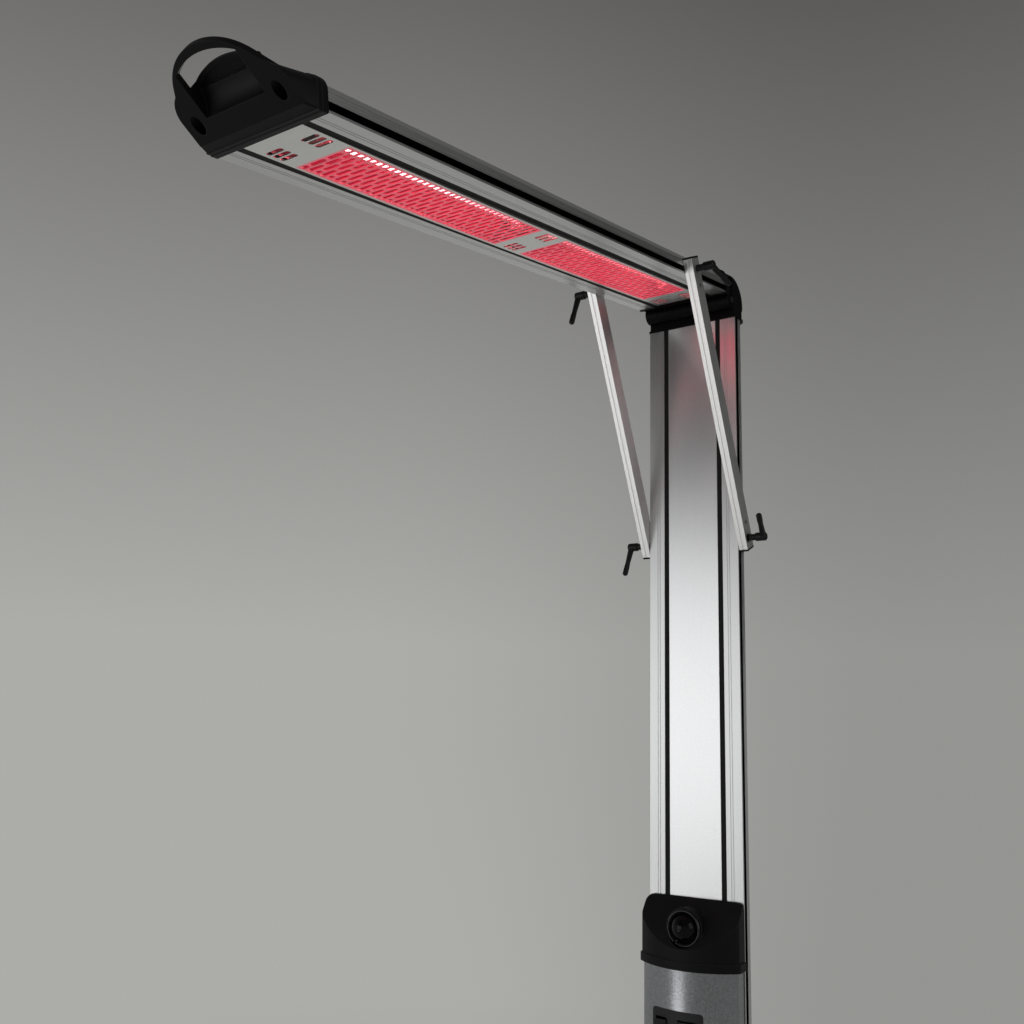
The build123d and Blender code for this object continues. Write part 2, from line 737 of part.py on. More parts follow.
def arm_terminals():
    """The terminal block behind the arm's hinge cap."""
    rear = profile_depth - profile_wall - seat_play
    length = terminal_length
    body = block(-length / 2, length / 2, rear - terminal_height, rear, terminal_place, terminal_place + terminal_width)
    for index in range(terminal_ways):
        x = (index - (terminal_ways - 1) / 2) * length / terminal_ways
        body -= rod_z(1.8, terminal_place, terminal_place + terminal_width, x, rear - terminal_height / 2)
    return arm_frame * body


# ---------------------------------------------------------------- struts and clamps, right side
strut_frame = Pos(0, lower_pivot[0], lower_pivot[1]) * Rot(strut_lean, 0, 0)
bar_low = -strut_overrun
bar_high = strut_length + strut_overrun
strut_outer_x = strut_x + strut_width


def pivot_cut(where):
    """The opening for the clamp's stud: a round bore above, a wide slot below."""
    if where == "upper":
        return rod_x(stud_radius + pivot_clearance, strut_x - 1, strut_outer_x + 1, 0, strut_length)
    slot = Plane.YZ * SlotOverall(follow_slot_width, follow_slot_length)
    return Pos(strut_x - 1, 0, 0) * extrude(slot, strut_width + 2, dir=(1, 0, 0))


def plug_screw_places():
    """Heights of the two plug screws along the strut."""
    return plug_screw_offset, strut_length - plug_screw_offset


def strut_bar():
    """The hollow strut bar with a groove along its front and back."""
    half = strut_depth / 2
    wall = strut_wall
    bar = block(strut_x, strut_outer_x, -half, half, bar_low, bar_high)
    bar -= block(strut_x + wall, strut_outer_x - wall, -half + wall, half - wall, bar_low, bar_high)
    middle = (strut_x + strut_outer_x) / 2
    for y in (-half, half):
        bar -= block(middle - strut_groove_width / 2, middle + strut_groove_width / 2,
                     y - strut_groove_depth, y + strut_groove_depth, bar_low, bar_high)
    for z in plug_screw_places():
        bar -= rod_x(plug_screw_radius + 0.1, strut_outer_x - 2 * wall, strut_outer_x + 1, 0, z)
    return strut_frame * (bar - pivot_cut("upper") - pivot_cut("lower"))


def strut_plugs():
    """The black plugs that close the bar and carry the pivots."""
    half = strut_depth / 2
    fit = strut_wall + plug_fit
    plugs = []
    for where, end, direction in (("lower", bar_low, 1), ("upper", bar_high, -1)):
        low, high = sorted((end, end + direction * plug_length))
        plug = block(strut_x + fit, strut_outer_x - fit, -half + fit, half - fit, low, high)
        flange_low, flange_high = sorted((end - direction * plug_flange, end))
        plug += block(strut_x, strut_outer_x, -half, half, flange_low, flange_high)
        for z in plug_screw_places():
            plug -= rod_x(plug_screw_radius + 0.1, strut_outer_x - plug_screw_length - 0.1, strut_outer_x, 0, z)
        plugs.append(strut_frame * (plug - pivot_cut(where)))
    return plugs


def plug_screws():
    """The screws that hold the plugs, with their socket recess."""
    screws = []
    for z in plug_screw_places():
        screw = rod_x(plug_screw_radius, strut_outer_x - plug_screw_length, strut_outer_x + 0.3, 0, z)
        screw -= rod_x(plug_screw_radius / 2, strut_outer_x - 1.5, strut_outer_x + 1, 0, z)
        screws.append(strut_frame * screw)
    return screws


def channel_nut():
    """A T-nut in a side channel, centred on the pivot, its length along local z."""
    cavity_x = half_width - channel_neck
    neck_half = channel_mouth / 2 - nut_clearance
    wide_half = channel_height / 2 - nut_clearance
    half = nut_length / 2
    nut = block(cavity_x - nut_clearance - nut_thickness, cavity_x - nut_clearance, -wide_half, wide_half, -half, half)
    nut += block(cavity_x - nut_clearance - 1, half_width - nut_clearance, -neck_half, neck_half, -half, half)
    return nut - rod_x(stud_radius + thread_clearance, 0, half_width, 0, 0)


upper_nut_frame = Pos(0, upper_pivot[0], upper_pivot[1]) * Rot(90 + arm_droop, 0, 0)
lower_nut_frame = Pos(0, lower_pivot[0], lower_pivot[1])


def clamp_stud(frame):
    """A clamp's threaded stud, from the T-nut into the lever's hub."""
    return frame * rod_x(stud_radius, half_width - channel_neck - nut_thickness, stud_end_x, 0, 0)


stud_end_x = hub_start_x + collar_length + hub_length * 0.7


def clamp_lever(frame, turn):
    """A clamping lever: collar, hub and tapered handle, turned about the stud."""
    hub_x = hub_start_x + collar_length
    hub_end = hub_x + hub_length
    body = rod_x(collar_radius, hub_start_x, hub_x, 0, 0)
    hub = rod_x(hub_radius, hub_x, hub_end, 0, 0)
    hub = chamfer(hub.edges().filter_by(GeomType.CIRCLE), hub_chamfer)
    body += hub
    root_x = hub_end - lever_root_radius
    sections = []
    for share, radius in ((0, lever_root_radius), (0.62, lever_waist_radius), (0.78, lever_tip_radius),
                          (1, lever_tip_radius)):
        place = Pos(root_x + share * lever_lean, 0, share * lever_reach)
        sections.append((place, radius))
    for (place, radius), (following, next_radius) in zip(sections, sections[1:]):
        body += loft([(place * Circle(radius)).faces()[0], (following * Circle(next_radius)).faces()[0]])
    body += sections[-1][0] * Sphere(lever_tip_radius)
    body -= rod_x(stud_radius + 0.05, hub_start_x - 1, stud_end_x, 0, 0)
    return frame * Rot(turn, 0, 0) * body


# ---------------------------------------------------------------- control housing
hood_z = hinge_height - housing_top
housing_end = hood_z - housing_length


def housing_section(drawn_in):
    """The housing's plan outline: side walls and a rounded front, drawn in by a wall."""
    wide = housing_half_width - drawn_in
    nose = housing_nose - drawn_in
    side = housing_side - drawn_in * 0.4
    outline = Polyline((-wide, -side), (-wide, 0), (wide, 0), (wide, -side))
    outline += ThreePointArc((wide, -side), (0, -nose), (-wide, -side))
    sheet = make_face(outline)
    corners = sheet.vertices().sort_by(Axis.Y)[:2]
    return fillet(corners, housing_corner)


def housing_prism(drawn_in, z0, z1):
    """The housing's plan outline raised between two heights."""
    return Pos(0, -back_plate - seat_play, z0) * extrude(housing_section(drawn_in), z1 - z0)


def below_plane(y, z, tilt):
    """Everything below a plane through (y, z) that falls towards the front by a tilt."""
    reach = 2 * housing_length
    drop = Pos(0, y, z) * Rot(tilt, 0, 0)
    return drop * Pos(0, 0, -reach / 2) * Box(reach, 2 * reach, reach)


def hood_solid(drawn_in, face_in):
    """The hood's filled form: rounded front, dark sloping face, tilted lower edge."""
    low = hood_z - hood_drop - 40
    form = housing_prism(drawn_in, low, hood_z)
    top_face = -back_plate - hood_ledge
    form = form & below_plane(top_face, hood_z - face_in / cos(radians(scoop_face)), scoop_face)
    rounded = RectangleRounded(2 * (housing_half_width - drawn_in), housing_length, hood_corner)
    window = extrude(Plane.XZ * Pos(0, hood_z - face_in - housing_length / 2) * rounded, 2 * housing_nose, both=True)
    return (form & window) - below_plane(0, hood_z - hood_drop, hood_tilt)


def sensor_hood():
    """The black hood: shell, flared lip band and the collar round the sensor."""
    hood = hood_solid(0, 0)
    band_top = hood_z - hood_drop + lip_height
    band = housing_prism(-lip_flare, hood_z - hood_drop - 40, hood_z)
    band = (band & below_plane(0, band_top, hood_tilt)) - below_plane(0, hood_z - hood_drop, hood_tilt)
    hood += band
    hood += sensor_cylinder(ring_radius + housing_wall, sensor_front - 30, sensor_front - collar_rise)
    hood -= hood_solid(housing_wall, housing_wall)
    hood -= housing_prism(housing_wall, hood_z - hood_drop - 60, hood_z - hood_drop + 6)
    hood -= sensor_cylinder(ring_radius + 0.1, 0, sensor_front + 20)
    return hood & block(-120, 120, -100, -back_plate - seat_play, housing_end, hood_z)


def sensor_cylinder(radius, y0, y1):
    """A cylinder on the sensor's axis, between two distances in front of the column."""
    return rod_y(radius, -y1, -y0, 0, hood_z - sensor_drop)


def sensor_ring():
    """The ring that holds the dome, with an opened mouth and its pointer notch."""
    ring = sensor_cylinder(ring_radius, sensor_back, sensor_front)
    ring = chamfer(ring.edges().filter_by(GeomType.CIRCLE).sort_by(Axis.Y)[0], ring_edge)
    ring -= sensor_cylinder(ring_inner, sensor_back + ring_floor, sensor_front + 1)
    mouth = Pos(0, -sensor_front + ring_mouth / 2, hood_z - sensor_drop) * Rot(90, 0, 0)
    ring -= mouth * Cone(ring_inner, ring_inner + ring_mouth, ring_mouth)
    notch = Pos(0, -sensor_front, hood_z - sensor_drop) * Rot(0, notch_turn, 0) * Pos(0, 0, ring_radius - 2)
    return ring - notch * Box(notch_width, notch_depth, notch_depth)


def sensor_dome():
    """The glass dome: a hollow cap on a tube that stands on the ring's floor."""
    middle = sensor_front - dome_set_back
    floor = sensor_back + ring_floor + seat_play / 2
    dome = sensor_cylinder(dome_radius, floor, middle)
    dome += Pos(0, -middle, hood_z - sensor_drop) * Sphere(dome_radius)
    hollow = sensor_cylinder(dome_radius - dome_wall, floor, middle)
    hollow += Pos(0, -middle, hood_z - sensor_drop) * Sphere(dome_radius - dome_wall)
    behind = sensor_cylinder(ring_radius, sensor_back - ring_radius, floor)
    return dome - hollow - behind


def sensor_module():
    """The detector can behind the dome on its small board."""
    floor = sensor_back + ring_floor + seat_play / 2
    body = sensor_cylinder(can_radius, floor, sensor_front - dome_set_back)
    return body + sensor_cylinder(dome_radius - dome_wall - seat_play, floor, floor + board_thickness)


def steel_cover():
    """The brushed steel cover below the hood, with the switch panel's opening."""
    top = hood_z - hood_drop + 5
    low = housing_end + foot_height
    cover = housing_prism(housing_wall + seat_play, low, top)
    cover -= housing_prism(housing_wall + seat_play + steel_wall, low - 1, top + 1)
    cover = cover & below_plane(0, top, hood_tilt)
    return cover - panel_window(panel_half_width - 3, 3)


def panel_window(half, edge):
    """The switch panel's opening, a rounded window through the front wall."""
    height = panel_height - 2 * edge
    middle_z = hood_z - panel_drop - panel_height / 2
    window = Plane.XZ * Pos(panel_middle, middle_z) * RectangleRounded(2 * half, height, 5)
    return extrude(window, housing_nose + 30)


rockers = ((main_rocker_x, main_rocker_width), (heat_rocker_x, heat_rocker_width))
rocker_z = hood_z - panel_drop - rocker_drop - rocker_height / 2
rocker_y = -(housing_nose - rocker_back)


def switch_panel():
    """The black switch panel: a curved plate with a rim and wells for the rockers."""
    skin = housing_wall + seat_play
    plate = housing_prism(skin - panel_lift, housing_end, hood_z) & panel_window(panel_half_width, 0)
    plate -= housing_prism(skin - 0.1, housing_end, hood_z)
    rear = housing_prism(skin - panel_lift, housing_end, hood_z)
    rear -= housing_prism(skin + 14, housing_end, hood_z)
    plug = rear & panel_window(panel_half_width - 3.2, 3.2)
    panel = plate + plug
    for x, width in rockers:
        half = width / 2 + 0.5
        high = rocker_height / 2 + 1.6
        panel -= block(x - half, x + half, -100, 0, rocker_z - high, rocker_z + high)
        panel += rod_x(rocker_axle_radius, x - half - 1, x + half + 1, rocker_y, rocker_z)
    return panel


def rocker(x, width):
    """A rocker switch with its two pads, pressed on one side, turning on the panel's axle."""
    half = rocker_height / 2
    pads = [(-rocker_pad - 1.6, half), (-rocker_pad, 0), (-rocker_pad - 1.6, -half),
            (rocker_axle_radius + 2, -half * 0.8), (rocker_axle_radius + 2, half * 0.8)]
    body = prism_x(pads, x - width / 2, x + width / 2)
    body -= rod_x(rocker_axle_radius + 0.1, x - width, x + width, 0, 0)
    return Pos(0, rocker_y, rocker_z) * Rot(rocker_throw, 0, 0) * body


def foot_cap():
    """The housing's lower end moulding, with the cable gland's hole."""
    top = housing_end + foot_height
    cap = housing_prism(0, housing_end, top) - housing_prism(housing_wall, housing_end + housing_wall, top)
    step = housing_prism(housing_wall + 2 * seat_play + steel_wall, top - 6, top + 6)
    step += housing_prism(housing_wall - 0.5, top - 6, top - 1)
    cap += step - housing_prism(housing_wall + 5.0, top - 7, top + 7)
    return cap - rod_z(gland_radius * 0.7, housing_end - 1, housing_end + 10, 0, -gland_y)



def cable_gland():
    """The cable gland in the lower end, with its bore free: the supply cord is left out."""
    z = housing_end
    body = rod_z(gland_radius * 0.7 - 0.1, z - 0.2, z + 6, 0, -gland_y)
    body += rod_z(gland_radius, z + housing_wall + 0.1, z + housing_wall + 5, 0, -gland_y)
    nut = Pos(0, -gland_y, z - 0.1 - gland_length / 2) * Cylinder(gland_radius, gland_length)
    nut = chamfer(nut.edges().filter_by(GeomType.CIRCLE).sort_by(Axis.Z)[0], 2.5)
    body += nut
    return body - rod_z(gland_bore, z - gland_length - 1, z + 20, 0, -gland_y)


def housing_back():
    """The back plate that holds the housing to the column's front."""
    rounded = RectangleRounded(2 * housing_half_width - 2 * housing_wall - 2, housing_length - 8, 10)
    middle = Pos(0, (hood_z + housing_end) / 2)
    plate = extrude(Plane.XZ * middle * rounded, back_plate)
    return Pos(0, -seat_play / 2, 0) * plate


def control_board():
    """The circuit board on its spacers, with two relays and a heat sink."""
    z0, z1 = housing_end + 60, housing_end + 165
    rear = -back_plate - seat_play / 2
    board = block(-56, 56, rear - 9.6, rear - 8, z0, z1)
    for x in (-48, 48):
        for z in (z0 + 8, z1 - 8):
            board += rod_y(3, rear - 8.1, rear - 0.1, x, z)
    for x in (-34, -8):
        board += block(x - 10, x + 10, rear - 25, rear - 9.5, z0 + 12, z0 + 40)
    for index in range(5):
        board += block(14 + index * 7, 16 + index * 7, rear - 24, rear - 9.5, z0 + 10, z0 + 48)
    return board


def supply_terminals():
    """The terminal block above the cable gland."""
    rear = -back_plate - seat_play / 2 - 0.1
    body = block(-32, 32, rear - 18, rear, housing_end + 34, housing_end + 52)
    for index in range(terminal_ways):
        x = (index - (terminal_ways - 1) / 2) * 11
        body -= rod_y(2.6, rear - 20, rear - 8, x, housing_end + 43)
    return body


# ---------------------------------------------------------------- base
plate_top = mat_thickness + base_thickness
socket_floor = plate_top + socket_foot_thickness
column_low = socket_floor


def base_sheet(margin):
    """The base's rounded outline, drawn in by a margin."""
    depth = base_front + base_back - 2 * margin
    outline = RectangleRounded(base_width - 2 * margin, depth, base_corner)
    return Pos(0, (base_back - base_front) / 2) * outline


def floor_mat():
    """The rubber mat under the base plate."""
    return extrude(base_sheet(2), mat_thickness)


def base_plate():
    """The heavy steel plate, with tapped holes for the socket and the wheel brackets."""
    plate = Pos(0, 0, mat_thickness) * extrude(base_sheet(0), base_thickness)
    top_edges = plate.faces().sort_by(Axis.Z)[-1].edges()
    plate = chamfer(top_edges, 2)
    for x, y in socket_bolt_places() + bracket_bolt_places():
        plate -= rod_z(socket_bolt_radius, mat_thickness + 1, plate_top + 1, x, y)
    return plate


def socket_bolt_places():
    """X and Y of the socket's six bolts."""
    x = half_width + socket_gap + socket_wall + socket_foot / 2
    front = -socket_foot / 2 - socket_wall
    rear = profile_depth + socket_foot / 2 + socket_wall
    return [(sx * px, y) for px in (0, x) for y in (front, rear) for sx in ((1, -1) if px else (1,))]


def column_socket():
    """The socket that the column stands in: foot flange, sleeve and gussets."""
    gap = socket_gap
    outer = gap + socket_wall
    half = half_width + outer
    flange = block(-half - socket_foot, half + socket_foot, -outer - socket_foot, profile_depth + outer + socket_foot,
                   plate_top, socket_floor)
    flange = fillet(flange.edges().filter_by(Axis.Z), 14)
    body = flange + prism_z(symmetric(profile_outline(-outer)), socket_floor, socket_floor + socket_height)
    body -= prism_z(symmetric(profile_outline(-gap)), socket_floor, socket_floor + socket_height + 1)
    for x in (-half_width * 0.55, half_width * 0.55):
        for y0, y1 in ((-outer, -outer - socket_foot + 3), (profile_depth + outer, profile_depth + outer + socket_foot - 3)):
            gusset = [(y0, socket_floor - 1), (y1, socket_floor - 1), (y1, socket_floor + 4),
                      (y0, socket_floor + socket_height * 0.6)]
            body += prism_x(gusset, x - 2.5, x + 2.5)
    for x, y in socket_bolt_places():
        body -= rod_z(socket_bolt_radius + 0.5, plate_top - 1, socket_floor + 1, x, y)
    for z in clamp_screw_heights():
        body -= rod_y(socket_bolt_radius, profile_depth - 1, profile_depth + 20, 0, z)
    return body


def clamp_screw_heights():
    """Heights of the two screws that clamp the column in its socket."""
    return socket_floor + socket_height * 0.3, socket_floor + socket_height * 0.8


def bolt_down(x, y, seat):
    """A hexagon bolt into the base plate."""
    head = Pos(x, y, seat) * extrude(RegularPolygon(bolt_head_radius, 6), bolt_head_height)
    return head + rod_z(socket_bolt_radius - 0.1, mat_thickness + 1.5, seat, x, y)


def socket_bolts():
    """The six bolts of the socket's foot."""
    return [bolt_down(x, y, socket_floor) for x, y in socket_bolt_places()]


def socket_clamp_screws():
    """The screws at the back of the socket that press on the column."""
    rear = profile_depth + 0.1
    screws = []
    for z in clamp_screw_heights():
        screw = rod_y(socket_bolt_radius - 0.1, rear, rear + 12, 0, z)
        screws.append(screw + rod_y(bolt_head_radius, rear + 6, rear + 12, 0, z))
    return screws


axle_y = base_back + wheel_behind
axle_z = wheel_lift + wheel_radius
ear_x = wheel_offset - wheel_width / 2 - ear_gap


def bracket_bolt_places():
    """X and Y of the wheel brackets' bolts."""
    x = ear_x - ear_thickness - ear_foot / 2
    return [(side * x, base_back - back) for side in (1, -1) for back in (ear_bolt_inset, ear_run - ear_bolt_inset)]


def wheel_brackets():
    """The two angle brackets that carry the axle behind the plate."""
    start = base_back - ear_run
    web = [(start, plate_top), (base_back, plate_top), (axle_y + ear_rim * 0.6, axle_z - ear_rim),
           (axle_y + ear_rim, axle_z), (axle_y, axle_z + ear_rim), (base_back - ear_rim, axle_z),
           (start, plate_top + ear_rim)]
    bracket = prism_x(web, ear_x - ear_thickness, ear_x)
    bracket += block(ear_x - ear_thickness - ear_foot, ear_x, start, base_back, plate_top,
                     plate_top + ear_foot_thickness)
    bracket -= rod_x(axle_radius + 0.1, 0, ear_x + 1, axle_y, axle_z)
    for x, y in bracket_bolt_places():
        if x > 0:
            bracket -= rod_z(socket_bolt_radius + 0.5, plate_top - 1, plate_top + ear_foot_thickness + 1, x, y)
    return mirrored(bracket)


def bracket_bolts():
    """The bolts of the wheel brackets."""
    return [bolt_down(x, y, plate_top + ear_foot_thickness) for x, y in bracket_bolt_places()]


def wheel_axle():
    """The axle with a cap on each end."""
    end = wheel_offset + wheel_width / 2 + ear_gap
    axle = rod_x(axle_radius, -end - 2, end + 2, axle_y, axle_z)
    for x0, x1 in ((end, end + 4), (-end - 4, -end)):
        axle += rod_x(axle_radius + 5, x0, x1, axle_y, axle_z)
    return axle


def wheel():
    """A transport wheel: hub, web and tyre with a rounded tread, right side."""
    half = wheel_width / 2
    web = half - dish_depth
    tyre = rod_x(wheel_radius, wheel_offset - half, wheel_offset + half, axle_y, axle_z)
    tyre = fillet(tyre.edges().filter_by(GeomType.CIRCLE), tread_radius)
    for x0, x1 in ((wheel_offset - half - 1, wheel_offset - web), (wheel_offset + web, wheel_offset + half + 1)):
        tyre -= rod_x(wheel_radius - dish_rim, x0, x1, axle_y, axle_z) - rod_x(wheel_hub, x0, x1, axle_y, axle_z)
    return tyre - rod_x(axle_radius + 0.1, 0, wheel_offset + 60, axle_y, axle_z)


# ---------------------------------------------------------------- writing the nodes
def build():
    """Make every piece and write one file for each node."""
    os.makedirs("parts", exist_ok=True)
    column_top = hinge_height - cap_seat

    write("floor_mat", floor_mat())
    write("base_plate", base_plate())
    write("column_socket", column_socket())
    write("socket_bolts", socket_bolts())
    write("socket_clamp_screws", socket_clamp_screws())
    write("wheel_brackets", wheel_brackets())
    write("bracket_bolts", bracket_bolts())
    write("wheel_axle", wheel_axle())
    right_wheel = wheel()
    write("wheel_right", right_wheel)
    write("wheel_left", right_wheel.mirror(Plane.YZ))

    write("column_profile", profile(column_low, column_top))
    write("column_cover", front_cover(slot_inner, column_low, column_top - 0.3))
    write("column_slot_strips", slot_strips(slot_inner, column_low, column_top - 0.3))
    write("column_hinge_cap", column_hinge_cap())
    write("column_cap_screws", cap_screws(column_frame, hinge_screw_seat, cap_screw_length + hinge_screw_seat))
    write("hinge_pin", hinge_pin())

    write("arm_profile", arm_frame * profile(cap_seat, arm_end))
    write("arm_slot_strips", [arm_frame * strip for strip in slot_strips(grille_half, cap_seat + 0.3, arm_end)])
    write("grille_panel", grille_panel())
    write("lamp_tubes", lamp_tubes())
    write("lamp_filaments", filaments())
    write("lamp_holders", lamp_holders())
    write("reflectors", reflectors())
    write("arm_terminal_block", arm_terminals())
    write("arm_hinge_cap", arm_hinge_cap())
    write("arm_cap_screws", cap_screws(arm_frame, hinge_screw_seat, cap_screw_length + hinge_screw_seat))
    write("outer_cap", outer_cap())
    write("outer_cap_screws", cap_screws(arm_frame, screw_seat, screw_seat - cap_screw_length))

    write("sensor_hood", sensor_hood())
    write("sensor_ring", sensor_ring())
    write("sensor_dome", sensor_dome())
    write("sensor_module", sensor_module())
    write("steel_cover", steel_cover())
    write("switch_panel", switch_panel())
    for name, (x, width) in zip(("main_rocker", "heat_rocker"), rockers):
        write(name, rocker(x, width))
    write("foot_cap", foot_cap())
    write("cable_gland", cable_gland())
    write("housing_back_plate", housing_back())
    write("control_board", control_board())
    write("supply_terminals", supply_terminals())

    right = {
        "strut_bar": strut_bar(),
        "strut_plugs": strut_plugs(),
        "strut_screws": plug_screws(),
        "upper_nut": upper_nut_frame * channel_nut(),
        "lower_nut": lower_nut_frame * channel_nut(),
        "upper_stud": clamp_stud(upper_nut_frame),
        "lower_stud": clamp_stud(lower_nut_frame),
    }
    for name, shape in right.items():
        group = shape if isinstance(shape, list) else [shape]
        write(name + "_right", group)
        write(name + "_left", [solid.mirror(Plane.YZ) for solid in group])
    level_frames = {"upper": Pos(0, *upper_pivot), "lower": Pos(0, *lower_pivot)}
    for (level, side), turn in lever_turns.items():
        lever = clamp_lever(level_frames[level], turn)
        write(level + "_lever_" + side, lever if side == "right" else lever.mirror(Plane.YZ))


build()
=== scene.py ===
import math

import bmesh
import bpy
from mathutils import Matrix, Vector


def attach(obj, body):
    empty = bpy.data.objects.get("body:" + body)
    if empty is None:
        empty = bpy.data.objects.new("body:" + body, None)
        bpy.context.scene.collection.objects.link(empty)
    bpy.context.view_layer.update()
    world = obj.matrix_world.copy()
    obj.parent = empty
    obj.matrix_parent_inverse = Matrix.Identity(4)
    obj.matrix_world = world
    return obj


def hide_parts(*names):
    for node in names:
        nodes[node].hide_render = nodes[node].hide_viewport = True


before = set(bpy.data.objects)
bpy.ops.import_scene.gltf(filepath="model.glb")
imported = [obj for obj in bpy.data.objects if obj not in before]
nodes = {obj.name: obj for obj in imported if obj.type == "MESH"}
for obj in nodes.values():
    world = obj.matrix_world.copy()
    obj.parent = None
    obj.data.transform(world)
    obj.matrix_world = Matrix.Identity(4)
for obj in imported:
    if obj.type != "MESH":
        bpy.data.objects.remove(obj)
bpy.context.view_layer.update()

# ---------------------------------------------------------------- places, in metres
HINGE = 2.2                  # height of the corner between the arm's underside and the column's front
DROOP = math.radians(9.0)    # how far the arm points below level
ALONG_ARM = Matrix((
    (1, 0, 0, 0),
    (0, -math.sin(DROOP), -math.cos(DROOP), 0),
    (0, math.cos(DROOP), -math.sin(DROOP), HINGE),
    (0, 0, 0, 1),
))                           # across, up from the underside, out along the arm
ACROSS = Vector((1, 0, 0))
OUT = Vector((0, -math.cos(DROOP), -math.sin(DROOP)))
UP = Vector((0, -math.sin(DROOP), math.cos(DROOP)))
ZONES = ((0.109, 0.486), (0.552, 0.929))     # both mesh zones, along the arm
LAMP_HEIGHT = 0.019                          # the lamps' middle, above the arm's underside
STRIP_LIP = 0.0022                           # the start of the strips' inner lips, above the arm's underside
CHANNEL_ACROSS = (0.066, 0.0816)             # the side channels' floor and mouth, from a profile's middle
CHANNEL_BEHIND = (0.0012, 0.0145)            # and their two walls, from its front
STRUT_LEAN = math.radians(25.08)             # how far the struts lean from upright


# ---------------------------------------------------------------- camera
def place_camera():
    """The photograph's own viewpoint: in front, to the right, looking up."""
    stand = Vector((0.8192, -1.7045, 1.4365))
    azimuth, elevation, roll = math.radians(35.14), math.radians(11.46), math.radians(1.465)
    ahead = Vector((-math.sin(azimuth) * math.cos(elevation), math.cos(azimuth) * math.cos(elevation),
                    math.sin(elevation)))
    right = Vector((math.cos(azimuth), math.sin(azimuth), 0))
    up = right.cross(ahead)
    rolled_right = math.cos(roll) * right + math.sin(roll) * up
    rolled_up = math.cos(roll) * up - math.sin(roll) * right
    eye = bpy.data.objects.new("eye", bpy.data.cameras.new("eye"))
    eye.data.sensor_width = 36
    eye.data.lens = 38.9
    eye.data.clip_start = 0.02
    turned = Matrix((rolled_right, rolled_up, -ahead)).transposed()
    eye.matrix_world = Matrix.Translation(stand) @ turned.to_4x4()
    bpy.context.scene.collection.objects.link(eye)
    bpy.context.scene.camera = eye


# ---------------------------------------------------------------- shader groups
GROUPS = {}       # every shader group, under its name


def new_group(name, inputs, outputs):
    """A shader node group with named sockets, and its two end nodes."""
    group = bpy.data.node_groups.new(name, "ShaderNodeTree")
    GROUPS[name] = group
    for label, kind, value in inputs:
        socket = group.interface.new_socket(label, in_out="INPUT", socket_type=kind)
        if value is not None:
            socket.default_value = value
    for label, kind in outputs:
        group.interface.new_socket(label, in_out="OUTPUT", socket_type=kind)
    entry = group.nodes.new("NodeGroupInput")
    leave = group.nodes.new("NodeGroupOutput")
    return group, entry, leave


def math_node(tree, operation, first, second=None, third=None):
    """One arithmetic step between sockets or plain numbers."""
    step = tree.nodes.new("ShaderNodeMath")
    step.operation = operation
    for place, value in enumerate((first, second, third)):
        if value is None:
            continue
        if isinstance(value, (int, float)):
            step.inputs[place].default_value = value
        else:
            tree.links.new(value, step.inputs[place])
    return step.outputs[0]


def blend_node(tree, share, first, second, mode="MIX"):
    """A colour between two colours, by a share."""
    step = tree.nodes.new("ShaderNodeMix")
    step.data_type = "RGBA"
    step.blend_type = mode
    for socket, value in ((step.inputs[0], share), (step.inputs[6], first), (step.inputs[7], second)):
        if isinstance(value, (int, float, tuple)):
            socket.default_value = value
        else:
            tree.links.new(value, socket)
    return step.outputs[2]


def noise_node(tree, vector, scale, detail, roughness):
    """A soft noise read at a vector."""
    step = tree.nodes.new("ShaderNodeTexNoise")
    step.inputs["Scale"].default_value = scale
    step.inputs["Detail"].default_value = detail
    step.inputs["Roughness"].default_value = roughness
    tree.links.new(vector, step.inputs["Vector"])
    return step.outputs["Fac"]


def grey_node(tree, level):
    """A grey of one level, as a colour."""
    step = tree.nodes.new("ShaderNodeCombineColor")
    for channel in range(3):
        tree.links.new(level, step.inputs[channel])
    return step.outputs[0]


def vector_node(tree, operation, first, second=None):
    """One step with vectors; a length or a dot product comes out as a number."""
    step = tree.nodes.new("ShaderNodeVectorMath")
    step.operation = operation
    tree.links.new(first, step.inputs[0])
    if isinstance(second, bpy.types.NodeSocket):
        tree.links.new(second, step.inputs[1])
    elif second is not None:
        step.inputs[1].default_value = second
    return step.outputs["Value" if operation in ("DOT_PRODUCT", "LENGTH") else "Vector"]


def axis_node(tree, vector, axis):
    """A vector's share along one axis."""
    step = tree.nodes.new("ShaderNodeSeparateXYZ")
    tree.links.new(vector, step.inputs[0])
    return step.outputs[axis]


def ramp_node(tree, value, low, high, kind="SMOOTHSTEP", least=0.0):
    """A share that rises from least to 1 as a value goes from low to high."""
    step = tree.nodes.new("ShaderNodeMapRange")
    step.interpolation_type = kind
    step.inputs["From Min"].default_value = low
    step.inputs["From Max"].default_value = high
    step.inputs["To Min"].default_value = least
    tree.links.new(value, step.inputs["Value"])
    return step.outputs["Result"]


def varied(tree, noise, strength, base):
    """A base number that a noise moves up and down."""
    return math_node(tree, "MULTIPLY_ADD", math_node(tree, "SUBTRACT", noise, 0.5), strength, base)


def summed(tree, first, first_share, second, second_share):
    """Two readings added by their shares."""
    return math_node(tree, "ADD", math_node(tree, "MULTIPLY", first, first_share),
                     math_node(tree, "MULTIPLY", second, second_share))


def between(tree, share, low, high):
    """A number between two sockets, by a share."""
    return math_node(tree, "MULTIPLY_ADD", share, math_node(tree, "SUBTRACT", high, low), low)


def inside(tree, value, low, high):
    """1 where a value lies between two numbers."""
    return math_node(tree, "MULTIPLY", math_node(tree, "GREATER_THAN", value, low),
                     math_node(tree, "LESS_THAN", value, high))


